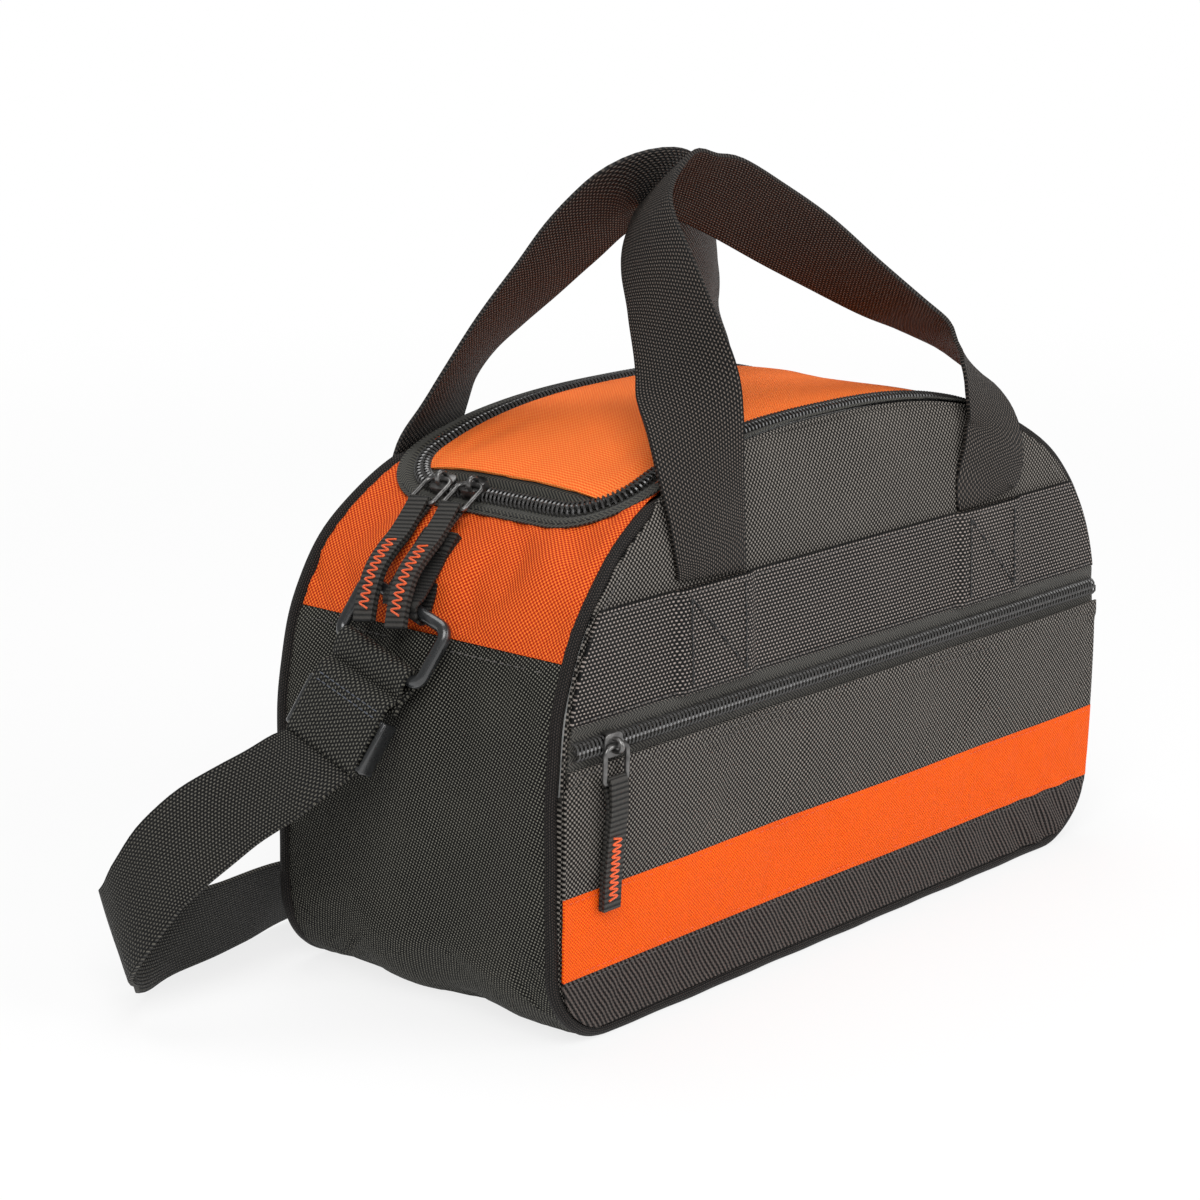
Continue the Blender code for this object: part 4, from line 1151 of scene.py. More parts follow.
    @staticmethod
    def route(rows: Sequence[Sequence[float]], step: float) -> Array:
        """Return rows about one step apart on a smooth curve through some rows of numbers.

        Args:
            rows: the rows of places and directions.
            step: the length of a step.

        Returns:
            Evenly spaced rows.
        """
        given = np.array(rows, dtype=float)
        padded = np.vstack([2 * given[0] - given[1], given, 2 * given[-1] - given[-2]])
        result = []
        for k in range(1, len(padded) - 2):
            a, b, c, d = padded[k - 1:k + 3]
            count = max(2, round(float(np.linalg.norm((c - b)[:3])) / step))
            for t in np.arange(count) / count:
                result.append(0.5 * (2 * b + (c - a) * t + (2 * a - 5 * b + 4 * c - d) * t ** 2
                                     + (3 * b - a - 3 * c + d) * t ** 3))
        result.append(given[-1])
        return np.array(result)

    @staticmethod
    def ribbon(name: str, rows: Array, width: float, thickness: float, across: int = 8,
               curl: float = 0.0) -> Piece:
        """Add a flat strap along rows of a centre and a width direction.

        Args:
            name: the piece's name.
            rows: the route, about as dense as its faces should be.
            width: the strap's width.
            thickness: its thickness.
            across: faces across it.
            curl: how far its edges bend off its middle.

        Returns:
            The piece.
        """
        centre, side = rows[:, :3], rows[:, 3:6]
        tangent = np.gradient(centre, axis=0)
        tangent /= np.linalg.norm(tangent, axis=1)[:, None]
        side = side - tangent * np.sum(side * tangent, axis=1)[:, None]
        side /= np.linalg.norm(side, axis=1)[:, None]
        out = np.cross(tangent, side)
        along = travelled(centre)
        count = len(rows) - 1

        def surface(a: Array, b: Array) -> tuple[Array, Array]:
            """Return the points of the middle layer.

            Args:
                a: shares along the piece.
                b: shares across the piece.

            Returns:
                Points and lengths in the cloth.
            """
            k = np.rint(a * count).astype(int)
            reach = (b - 0.5) * (width - thickness * 0.4)
            bend = curl * (np.abs(b - 0.5) * 2) ** 2
            points = centre[k] + side[k] * reach[:, None] + out[k] * bend[:, None]
            return points, np.stack([along[k], reach], 1)

        piece = Bench.sheet(name, count, across, surface)
        Bench.apply(piece, "SOLIDIFY", thickness=thickness, offset=0.0)
        Bench.apply(piece, "BEVEL", width=thickness * 0.3, segments=2, limit_method="ANGLE", angle_limit=1.0)
        Bench.smooth(piece, 50.0)
        return piece

    @staticmethod
    def tube(name: str, points: Array, radius: float, sides: int, closed: bool = False,
             up: Vector | None = None) -> Piece:
        """Add a round rod along a route, with its length and girth as its UV map.

        Args:
            name: the name it gets.
            points: the points.
            radius: its radius.
            sides: the number of sides.
            closed: whether its ends meet.
            up: the normal of a flat loop.

        Returns:
            The tube.
        """
        count = len(points)
        built = bmesh.new()
        layer = built.loops.layers.uv.new("cut")
        turns = [2 * math.pi * i / sides for i in range(sides)]
        rings, lengths, last, total = [], [], up, 0.0
        for k in range(count):
            ahead = points[(k + 1) % count] if closed else points[min(k + 1, count - 1)]
            behind = points[k - 1] if closed else points[max(k - 1, 0)]
            tangent = Vector(ahead - behind).normalized()
            side = last if last is not None else tangent.orthogonal()
            side = (side - tangent * side.dot(tangent)).normalized()
            last = side if up is None else up
            out = tangent.cross(side)
            total += float(np.linalg.norm(points[k] - points[k - 1])) if k else 0.0
            lengths.append(total)
            rings.append([built.verts.new(Vector(points[k])
                                          + radius * (math.cos(t) * side + math.sin(t) * out))
                          for t in turns])
        girth = 2 * math.pi * radius / sides
        for k in range(count if closed else count - 1):
            j = (k + 1) % count
            far = lengths[j] if j else total + float(np.linalg.norm(points[0] - points[-1]))
            for i in range(sides):
                face = built.faces.new((rings[k][i], rings[k][(i + 1) % sides],
                                        rings[j][(i + 1) % sides], rings[j][i]))
                cuts = ((lengths[k], i), (lengths[k], i + 1), (far, i + 1), (far, i))
                for corner, (length, step) in zip(face.loops, cuts):
                    corner[layer].uv = (length, step * girth)
        if not closed:
            built.faces.new(list(reversed(rings[0])))
            built.faces.new(rings[-1])
        bmesh.ops.recalc_face_normals(built, faces=built.faces)
        mesh = bpy.data.meshes.new(name)
        built.to_mesh(mesh)
        built.free()
        piece = Bench.linked(name, mesh)
        Bench.smooth(piece, 60.0)
        return piece

    @staticmethod
    def repeat(name: str, pattern: Piece, frames: Sequence[Matrix]) -> Piece:
        """Copy a small pattern to many places, as one piece, and remove the pattern.

        Args:
            name: the name it gets.
            pattern: the piece to repeat.
            frames: the matrix of each copy.

        Returns:
            The joined copies.
        """
        points = np.array([vertex.co for vertex in pattern.data.vertices])
        faces = [tuple(polygon.vertices) for polygon in pattern.data.polygons]
        places = np.array([[list(row) for row in spot] for spot in frames])
        moved = np.einsum("nij,pj->npi", places[:, :3, :3], points) + places[:, None, :3, 3]
        step = len(points)
        every = [tuple(k * step + i for i in face) for k in range(len(frames)) for face in faces]
        mesh = bpy.data.meshes.new(name)
        mesh.from_pydata(moved.reshape(-1, 3).tolist(), [], every)
        mesh.update()
        bpy.data.objects.remove(pattern, do_unlink=True)
        piece = Bench.linked(name, mesh)
        Bench.smooth(piece, 60.0)
        return piece

    @staticmethod
    def joined(name: str, pieces: Sequence[Piece]) -> Piece:
        """Join several pieces into one.

        Args:
            name: the name it gets.
            pieces: the pieces to join.

        Returns:
            The one piece.
        """
        Bench.clear()
        for piece in pieces:
            piece.select_set(True)
        bpy.context.view_layer.objects.active = pieces[0]
        bpy.ops.object.join()
        return Bench.named(name)

    @staticmethod
    def rounded_block(name: str, size: Colour, edge: float, corner: float = 0.0) -> Piece:
        """Add a block with rounded upright corners and softened edges.

        Args:
            name: the name it gets.
            size: the three sizes.
            edge: the radius of the edges.
            corner: the radius of the corners.

        Returns:
            The block.
        """
        Bench.clear()
        bpy.ops.mesh.primitive_cube_add(size=1.0)
        piece = Bench.named(name)
        piece.scale = size
        Bench.settle_place(piece)
        if corner:
            bpy.ops.object.mode_set(mode="EDIT")
            bpy.ops.mesh.select_all(action="DESELECT")
            bpy.ops.object.mode_set(mode="OBJECT")
            mesh = piece.data
            for edge_line in mesh.edges:
                first, second = (mesh.vertices[k].co for k in edge_line.vertices)
                edge_line.select = abs(first.z - second.z) > size[2] / 2
            bpy.ops.object.mode_set(mode="EDIT")
            bpy.ops.mesh.select_mode(type="EDGE")
            bpy.ops.mesh.bevel(offset=corner, segments=6)
            bpy.ops.object.mode_set(mode="OBJECT")
        Bench.apply(piece, "BEVEL", width=edge, segments=2, limit_method="ANGLE", angle_limit=0.6)
        return piece


class Needle:
    """Sews rows of stitches: each stitch is a short rounded thread, half sunk in the cloth."""

    def __init__(self, length: float = 0.0024, pitch: float = 0.0033, thread: float = 0.00026) -> None:
        """Choose the stitches' length, their distance and the thread's radius.

        Args:
            length: the length of a stitch.
            pitch: the distance of the stitches.
            thread: half the thread width.
        """
        self.length = length
        self.pitch = pitch
        self.thread = thread
        self.frames: list[Matrix] = []

    def row(self, points: Array, outs: Array) -> None:
        """Sew along a route of points, each with the direction off the cloth.

        Args:
            points: the points.
            outs: the outward directions.
        """
        places = travelled(points)
        count = max(1, int(places[-1] // self.pitch))
        for place in (np.arange(count) + 0.5) * (places[-1] / count):
            ends = [sampled(place + way * self.length / 2, places, points) for way in (-1, 1)]
            out = Vector(sampled(place, places, outs))
            along = Vector(ends[1] - ends[0])
            if along.length < 1e-6:
                continue
            side = out.cross(along).normalized()
            out = along.normalized().cross(side)
            centre = Vector((ends[0] + ends[1]) / 2) + out * (self.thread * 0.4)
            columns = (along.normalized() * (self.length / 2), side * self.thread, out * self.thread)
            self.frames.append(placed(columns, centre))

    def line(self, start: Vector, end: Vector, out: Vector) -> None:
        """Sew a straight row."""
        points = np.linspace(np.array(start), np.array(end), 24)
        self.row(points, np.repeat(np.array([out]), 24, axis=0))

    def finish(self, name: str, finish: Finishes, body: str) -> Piece:
        """Make the piece that holds every stitch sewn so far.

        Args:
            name: the name it gets.
            finish: its finish.
            body: the body it moves with.

        Returns:
            The sewn piece.
        """
        Bench.clear()
        bpy.ops.mesh.primitive_uv_sphere_add(segments=6, ring_count=4, radius=1.0,
                                             rotation=(0, math.pi / 2, 0))
        pattern = Bench.named(name + "_pattern")
        Bench.settle_place(pattern)
        piece = Bench.repeat(name, pattern, self.frames)
        return Bench.ready(piece, finish, body)


def off_arch(points: Array) -> Array:
    """Return directions away from the bag's middle, for strips wrapped on the arch."""
    return (points - np.array([0.0, 0.0, 0.09])) * np.array([1.0, 0.0, 1.0])


@dataclass
class Strip:
    """A strip of cloth wrapped on the arch between two places."""

    low: float
    high: float
    edge: Callable[[Array], Array]
    lift: float = 0.0
    bulge: Callable[[Array, Array], Array] | None = None
    crowd: float = 0.0

    def surface(self, a: Array, b: Array) -> tuple[Array, Array]:
        """Return points and cut lengths for shares along and across the strip.

        Args:
            a: shares along the strip.
            b: shares across the piece.

        Returns:
            Points and lengths in the cloth.
        """
        share = a if not self.crowd else a ** (1 + self.crowd)
        place = self.low + (self.high - self.low) * share
        y = (2 * b - 1) * self.edge(place)
        lift = np.full_like(place, self.lift)
        if self.bulge is not None:
            lift = lift + self.bulge(place, y)
        spots = FORM.at(place, lift)
        return spread(spots, y), np.stack([place, y], 1)


@dataclass
class Plate:
    """A piece of cloth with the arch's outline, laid on the front or the back."""

    side: Side
    inset: float
    lift: float = 0.0
    low: float | None = None
    high: float | None = None
    relief: Callable[[Array, Array], Array] | None = None
    top_inset: float | None = None

    def surface(self, a: Array, b: Array) -> tuple[Array, Array]:
        """Return points and cut lengths for shares along the bag and up it.

        Args:
            a: shares along the piece.
            b: shares across the piece.

        Returns:
            Points and lengths in the cloth.
        """
        heights, reaches = FORM.loop(self.inset)
        if self.low is not None:
            z = self.low + (self.high - self.low) * b
            x = (2 * a - 1) * np.interp(z, heights, reaches)
        else:
            widest = int(np.argmax(reaches))
            x = float(reaches[widest]) * np.sin(math.pi * (a - 0.5))
            top = np.interp(np.abs(x), reaches[widest:][::-1], heights[widest:][::-1])
            if self.top_inset is not None:
                high, wide = FORM.loop(self.top_inset)
                peak = int(np.argmax(wide))
                raised = np.interp(np.abs(x), wide[peak:][::-1], high[peak:][::-1])
                share = np.clip((FORM.length / 2 - FORM.end_in + 0.004 - np.abs(x)) / 0.010, 0, 1)
                top = top + (raised - top) * eased(share)
            bottom = np.interp(np.abs(x), reaches[:widest + 1], heights[:widest + 1])
            z = bottom + (top - bottom) * b
        y = FORM.face(z) + self.lift
        if self.relief is not None:
            y = y + self.relief(x, z)
        return np.stack([x, self.side.value * y, z], 1), np.stack([x, z], 1)


def cloth_piece(name: str, columns: int, rows: int, surface: Surface, thickness: float, finish: Finishes,
                towards: Callable[[Array], Array], body: str = "bag", nodes: Sequence[str] = (),
                settle: dict | None = None, bevel: float = 0.0) -> Piece:
    """Make one cut piece of cloth: a sheet that settles and then gets its thickness inwards.

    Args:
        name: the name it gets.
        columns: cells along it.
        rows: cells across it.
        surface: the field of its middle layer.
        thickness: its thickness.
        finish: its finish.
        towards: the direction field to face.
        body: the body it moves with.
        nodes: the solids it stands for.
        settle: settings of its simulation.
        bevel: the width of its rounded edges.

    Returns:
        The finished piece.
    """
    piece = Bench.sheet(name, columns, rows, surface)
    Bench.face_out(piece, towards)
    if settle:
        pinned = settle.pop("pinned")(np.array([vertex.co for vertex in piece.data.vertices]), columns, rows)
        Bench.settle(piece, pinned, **settle)
    Bench.apply(piece, "SOLIDIFY", thickness=thickness, offset=-1.0, use_even_offset=True)
    if bevel:
        Bench.apply(piece, "BEVEL", width=bevel, segments=2, limit_method="ANGLE", angle_limit=1.0)
    Bench.smooth(piece, 50.0)
    return Bench.ready(piece, finish, body, nodes or (name,))


def edges_pinned(points: Array, columns: int, rows: int) -> Array:
    """Pin a grid's outer edge.

    Args:
        points: the points.
        columns: the number of columns.
        rows: the number of rows, not used.

    Returns:
        Which points are held.
    """
    count = len(points)
    held = np.zeros(count, dtype=bool)
    index = np.arange(count)
    wide = columns + 1
    held[(index % wide == 0) | (index % wide == wide - 1) | (index < wide) | (index >= count - wide)] = True
    return held


@dataclass
class Shell:
    """The outer cloth of the bag: panels, gussets, base and piping."""

    ripple: float = 0.0005
    puff_cap: float = 0.0022
    fold_depth: float = 0.0062
    sway: float = 0.0018
    lowest: float = -0.0006
    under: float = 0.0070
    arm: float = 0.012
    half_width: float = 0.0620
    back_extra: float = 0.0008
    stitch_drop: float = 0.0042
    stitch_reach: float = 0.061

    def panels(self) -> None:
        """Make the front and the back panel."""
        for side in Side:
            name = side.name.lower() + "_panel"

            def relief(x: Array, z: Array, side: Side = side) -> Array:
                """Return the lift of the cloth."""
                free = np.clip((z - FORM.band_low - FORM.webbing_width - 0.003) / 0.012, 0, 1)
                return self.ripple * free * (ripple(x, z, 0.09, 1.0 + side.value) + 0.9)

            def pinned(points: Array, columns: int, rows: int) -> Array:
                """Hold the edges and what the band covers."""
                covered = points[:, 2] < FORM.band_low + FORM.webbing_width + 0.004
                return edges_pinned(points, columns, rows) | covered

            plate = Plate(side, FORM.cell - 0.0012, relief=relief, top_inset=0.0007)
            cloth_piece(name, 96, 60, plate.surface, FORM.cloth, Finishes.FRONT_CLOTH,
                        facing(side), settle={"pinned": pinned, "pressure": 2.5, "slack": 0.010,
                                              "cap": self.puff_cap})
            end = FORM.place_at(0, FORM.length / 2 - FORM.end_in - 0.004)
            spots = FORM.at(np.linspace(-end, end, 160), -0.0016)
            y = side.value * (FORM.face(spots[:, 1]) - 0.0001)
            hem = Bench.tube(name + "_hem", spread(spots, y), 0.0011, 10)
            Bench.ready(hem, Finishes.FRONT_CLOTH, "bag")

    def folds(self, place: Array, y: Array) -> Array:
        """Return the soft folds of the gusset's upper part, deepest under the zip.

        Args:
            place: places along the outline.
            y: places across the bag.

        Returns:
            The lift of the folds.
        """
        near = np.clip((place + FORM.side_seam) / (FORM.side_seam + FORM.tongue), 0, 1)
        middle = np.cos(np.clip(y / self.half_width, -1, 1) * math.pi / 2)
        waves = np.sin(y * 165 + near * 3.4 + 0.6) * 0.55 + np.sin(y * 92 - near * 2.8 + 1.4) * 0.8
        crest = np.sin(math.pi * near ** 1.25) * np.clip((0.84 - near) / 0.25, 0, 1)
        calm = 1 - 0.85 * np.exp(-((y - 0.006) / 0.020) ** 2)
        return np.maximum(self.fold_depth * middle * crest * calm * (waves * 0.6 + 0.35), -0.0005)

    def gussets(self) -> None:
        """Make the four gusset pieces and the base."""
        gap = FORM.seam / 2
        bottom = FORM.base_seam

        def wide(place: Array) -> Array:
            """Return the half width of a gusset."""
            return FORM.gusset_edge(place) + 0.0012

        def soft(place: Array, y: Array) -> Array:
            """Return the soft waves of the cloth.

            Args:
                place: places along the outline.
                y: places across the bag.

            Returns:
                The lift of the waves.
            """
            middle = np.cos(np.clip(y / 0.064, -1, 1) * math.pi / 2)
            upright = np.sin(y * 96 + 0.9 * np.sin(place * 22.0) + 0.7)
            return np.maximum(self.sway * middle * (0.65 * upright + 0.5 * ripple(place, y, 0.09, 3.0)),
                              self.lowest)

        settle = {"pinned": edges_pinned, "pressure": 1.6, "slack": 0.010, "cap": self.puff_cap * 0.8}
        cloth_piece("right_gusset_upper", 36, 44,
                    Strip(FORM.hinge + gap, FORM.side_seam - gap, wide, 0, soft).surface,
                    FORM.cloth, Finishes.ORANGE_SIDE, off_arch, settle=dict(settle))
        for sign, name in ((1, "right_gusset_lower"), (-1, "left_gusset_lower")):
            low, high = sorted((sign * (FORM.side_seam + gap), sign * (bottom - gap)))
            cloth_piece(name, 64, 44, Strip(low, high, wide, 0, soft).surface, FORM.cloth,
                        Finishes.SIDE_CLOTH, off_arch, settle=dict(settle))
        base = Strip(bottom + gap, FORM.total - bottom - gap, wide, 0.0)
        cloth_piece("base_panel", 60, 24, base.surface, FORM.cloth, Finishes.HEM_CLOTH, off_arch)
        self.left_upper(wide, settle)

    def left_upper(self, wide: Callable[[Array], Array], settle: dict) -> None:
        """Make the orange piece under the tongue, with an arm up each side of the zip.

        Args:
            wide: the field of half widths.
            settle: settings of its simulation.
        """
        low = -FORM.side_seam + FORM.seam / 2
        centre = FORM.tongue + FORM.tongue_corner
        radius = FORM.tongue_corner + self.under
        arm = centre + self.arm

        def surface(a: Array, b: Array) -> tuple[Array, Array]:
            """Return the points of the middle layer.

            Args:
                a: shares along the piece.
                b: shares across the piece.

            Returns:
                Points and lengths in the cloth.
            """
            t = np.sin((b - 0.5) * math.pi * 0.96) / math.sin(math.pi * 0.48)
            y = t * self.half_width
            inner = np.abs(y) - (FORM.zip_half - FORM.tongue_corner)
            bent = centre - np.sqrt(np.clip(radius ** 2 - np.clip(inner, 0, None) ** 2, 0, None))
            top = np.where(inner <= 0, FORM.tongue - self.under, np.where(inner < radius, bent, arm))
            place = low + (top - low) * a
            spots = FORM.at(place, self.folds(place, y))
            y = y * (wide(place) / self.half_width)
            return spread(spots, y), np.stack([place, y], 1)

        cloth_piece("left_gusset_upper", 40, 72, surface, FORM.cloth, Finishes.ORANGE_SIDE, off_arch,
                    settle=dict(settle))

    def pipings(self) -> None:
        """Make the piping round both large panels."""
        end = FORM.place_at(0, FORM.length / 2 - FORM.end_in)
        far = end - 0.010
        places = np.linspace(far, FORM.total - far, 440)
        under = np.clip((end - np.minimum(places, FORM.total - places)) / 0.010, 0, 1) * 0.0022
        for side in Side:
            name = side.name.lower() + "_piping"
            extra = self.back_extra if side is Side.BACK else 0.0
            radius = FORM.piping + 0.0005 + extra
            proud = 0.0004 + 2 * extra * np.clip(FORM.at(places)[:, 1] / 0.03, 0, 1)
            spots = FORM.at(places, proud - radius - under)
            wobble = 0.00018 * np.sin(places * 190) + 0.00012 * np.sin(places * 71 + side.value)
            y = side.value * (FORM.depth / 2 + 0.0006 - radius - FORM.lean(FORM.at(places)[:, 1]) + wobble)
            Bench.ready(Bench.tube(name, spread(spots, y), radius, 14), Finishes.PIPING, "bag", (name,))

    def stitches(self) -> None:
        """Sew the rows beside the piping, below the side seams and round the base."""
        needle = Needle()
        end = FORM.place_at(0, FORM.length / 2 - FORM.end_in)
        places = np.linspace(end + 0.002, FORM.total - end - 0.002, 500)
        for side in Side:
            spots = FORM.at(places, -(FORM.cell + 0.0022))
            y = side.value * (FORM.face(spots[:, 1]) + 0.0001)
            needle.row(spread(spots, y), facing(side)(spots))
        reach = self.stitch_reach
        for sign in (-1, 1):
            place = sign * (FORM.side_seam + self.stitch_drop)
            x, z = FORM.at(np.array(place), 0.0002)
            needle.line(Vector((x, -reach, z)), Vector((x, reach, z)), FORM.out(place))
        needle.finish("shell_stitches", Finishes.GREY_THREAD, "bag")

    def build(self) -> None:
        """Make the whole shell."""
        self.panels()
        self.gussets()
        self.pipings()
        self.stitches()


@dataclass
class MainZip:
    """The main zip round the lid: tapes and coils on the bag and on the lid."""

    end_in: float = 0.004
    tape: float = 0.0100
    tape_thickness: float = 0.0007
    coil_reach: float = 0.0032
    coil_top: float = 0.0021
    pitch: float = 0.0020
    wire: float = 0.00050
    over: float = 0.0004
    cut_length: float = 0.57
    stitched: float = 0.047

    def line(self, offset: float, count: int = 700) -> tuple[Array, Array]:
        """Return places and Y along the zip's line, moved outwards, from the front round the tongue.

        Args:
            offset: distance from the cut line.
            count: the number of points.

        Returns:
            Places and Y along the line.
        """
        stop = FORM.hinge - self.end_in
        radius = FORM.tongue_corner + offset
        centre = FORM.tongue + FORM.tongue_corner
        wide = FORM.zip_half - FORM.tongue_corner
        turn = np.linspace(0, math.pi / 2, 24)
        places = np.concatenate([np.linspace(stop, centre, 120, endpoint=False),
                                 centre - radius * np.sin(turn)])
        y = np.concatenate([np.full(120, -(FORM.zip_half + offset)), -wide - radius * np.cos(turn)])
        places = np.concatenate([places, places[::-1]])
        y = np.concatenate([y, -y[::-1]])
        steps = travelled(np.stack([places, y], 1))
        even = np.linspace(0, steps[-1], count)
        return np.interp(even, steps, places), np.interp(even, steps, y)

    def tape_piece(self, name: str, inner: float, outer: float, body: str) -> None:
        """Make one tape, between two offsets from the zip's line.

        Args:
            name: the name it gets.
            inner: the inner edge.
            outer: the outer edge.
            body: the body it moves with.
        """
        first, second = self.line(inner), self.line(outer)
        outwards = outer > 0

        def surface(a: Array, b: Array) -> tuple[Array, Array]:
            """Return the points of the middle layer.

            Args:
                a: shares along the piece.
                b: shares across the piece.

            Returns:
                Points and lengths in the cloth.
            """
            k = np.rint(a * (len(first[0]) - 1)).astype(int)
            place = first[0][k] * (1 - b) + second[0][k] * b
            y = first[1][k] * (1 - b) + second[1][k] * b
            reach = np.abs(inner + (outer - inner) * b)
            rise = np.clip(reach / self.tape, 0, 1)
            if outwards:
                limit = FORM.depth / 2 - FORM.panel_in - FORM.lean(FORM.at(place)[:, 1])
                y = np.clip(y, -limit, limit)
            lift = (-0.0011 + 0.0019 * np.clip(rise / 0.55, 0, 1) ** 1.5
                    + self.over * np.clip((rise - 0.5) / 0.4, 0, 1))
            if not outwards:
                lift = np.minimum(lift, -0.0004) + (Lid.lip - 0.0004) * Lid.lipped(place, y)
            return spread(FORM.at(place, lift), y), np.stack([a * self.cut_length, reach], 1)

        cloth_piece(name, 699, 7, surface, self.tape_thickness, Finishes.TAPE, off_arch, body)

    def tooth(self) -> Piece:
        """Make one turn of the coil: X along the zip, Y from its line outwards, Z up.

        Returns:
            One turn of the coil.
        """
        reach, top, half = self.coil_reach, self.coil_top, self.pitch / 2
        path = np.array([(-half * 0.2, reach, -0.0004), (0.0, reach * 0.92, top * 0.55),
                         (half * 0.1, reach * 0.55, top), (half * 0.35, -0.0002, top * 0.92),
                         (half * 0.5, -0.00055, top * 0.40), (half * 0.8, 0.0004, -0.0004)])
        return Bench.tube("coil_turn", path, self.wire, 5)

    def coil(self, name: str, sign: int, body: str, node: str) -> None:
        """Make one half of the coil along the zip's line.

        Args:
            name: the name it gets.
            sign: the side it is on, -1 or 1.
            body: the body it moves with.
            node: the solid it stands for.
        """
        places, ys = self.line(0.0, 1400)
        points = spread(FORM.at(places), ys)
        steps = travelled(points)
        frames = []
        for k in range(int(steps[-1] // self.pitch)):
            spot = (k + (0.25 if sign > 0 else 0.75)) * self.pitch
            centre = sampled(spot, steps, points)
            out = FORM.out(float(np.interp(spot, steps, places)))
            along = Vector(sampled(spot + 0.001, steps, points) - sampled(spot - 0.001, steps, points))
            along = (along - out * along.dot(out)).normalized()
            across = along.cross(out).normalized()
            across = across * sign * (1 if self.outwards(centre, across) else -1)
            frames.append(placed((along, across, out), centre))
        piece = Bench.repeat(name, self.tooth(), frames)
        Bench.turn_faces_out(piece)
        Bench.ready(piece, Finishes.COIL, body, (node,))

    @staticmethod
    def outwards(centre: Array, across: Vector) -> bool:
        """Tell whether a direction across the zip leads away from the lid."""
        inner = Vector((min(max(centre[0], FORM.tongue + FORM.tongue_corner), 0.05), 0.0, centre[2]))
        return (Vector(centre) - inner).dot(across) > 0

    def stitches(self) -> None:
        """Sew the outer tape to the cloth under it."""
        places, y = self.line(self.tape - 0.0016)
        keep = np.abs(y) < self.stitched
        spots, above = spread(FORM.at(places, 0.0013), y), spread(FORM.at(places, 0.0113), y)
        needle = Needle(0.0020, 0.0028, 0.0002)
        needle.row(spots[keep], (above - spots)[keep])
        needle.finish("main_tape_stitches", Finishes.DARK_THREAD, "bag")

    def build(self) -> None:
        """Make the whole zip."""
        self.tape_piece("main_zip_tape", 0.0004, self.tape, "bag")
        self.tape_piece("lid_zip_tape", -0.0004, -self.tape, "lid")
        self.coil("main_zip_coil", 1, "bag", "main_zip_chain")
        self.coil("lid_zip_coil", -1, "lid", "lid_zip_chain")
        self.stitches()


@dataclass
class Lid:
    """The lid: its orange cloth, its foam and its lining."""

    show: float = 0.0080
    side_show: float = 0.0031
    swell: float = 0.0014
    fade: float = 0.018
    lip: float = 0.0036

    @staticmethod
    def lipped(place: Array, y: Array) -> Array:
        """Return how much of the lip a spot takes: all of it at the tongue's end.

        Args:
            place: places along the outline.
            y: places across the bag.

        Returns:
            The share, from 0 to 1.
        """
        across = 1 - np.clip(np.abs(y) / 0.0425, 0, 1) ** 3
        start = np.clip((place - FORM.tongue - 0.0018) / 0.0060, 0, 1)
        return across * eased(start) * np.exp(-np.clip(place - FORM.tongue - Lid.show, 0, 1) / Lid.fade)

    def build(self) -> None:
        """Make the lid's three layers."""
        stop = FORM.hinge - FORM.seam / 2

        def edge(offset: float) -> Callable[[Array], Array]:
            """Return the half width at an offset."""
            return lambda place: FORM.tongue_half(place, offset)

        def soft(place: Array, y: Array) -> Array:
            """Return the soft waves of the cloth.

            Args:
                place: places along the outline.
                y: places across the bag.

            Returns:
                The lift of the waves.
            """
            share = np.clip(np.abs(y) / 0.044, 0, 1)
            ends = (np.clip((place - FORM.tongue - self.show) / 0.03, 0, 1)
                    * np.clip((stop - place) / 0.03, 0, 1))
            swell = self.swell * (1 - share ** 2) * ends * (0.6 + 0.5 * ripple(place, y, 0.10, 5.0))
            return swell + self.lip * self.lipped(place, y)

        # The lid panel's orange is painted lighter, as painted top light and sheen.
        top = Strip(FORM.tongue + self.show, stop, edge(-self.side_show), 0.0007, soft, 0.25)
        cloth_piece("lid_panel", 110, 40, top.surface, FORM.cloth, Finishes.ORANGE_LID, off_arch, "lid",
                    settle={"pinned": edges_pinned, "pressure": 1.5, "slack": 0.008, "cap": 0.0016})
        foam = Strip(FORM.tongue + 0.0006, stop, edge(-0.0006), Lining.foam_lift, None, 0.25)
        piece = cloth_piece("lid_foam", 90, 30, foam.surface, Lining.foam, Finishes.FOAM, off_arch, "lid")
        lining = Strip(FORM.tongue + 0.003, stop, edge(-0.003), Lining.foil_lift,
                       lambda place, y: -0.0004 + 0.0003 * ripple(place, y, 0.05, 2.0), 0.25)
        cloth_piece("lid_liner", 90, 30, lining.surface, Lining.foil, Finishes.FOIL, off_arch, "lid")


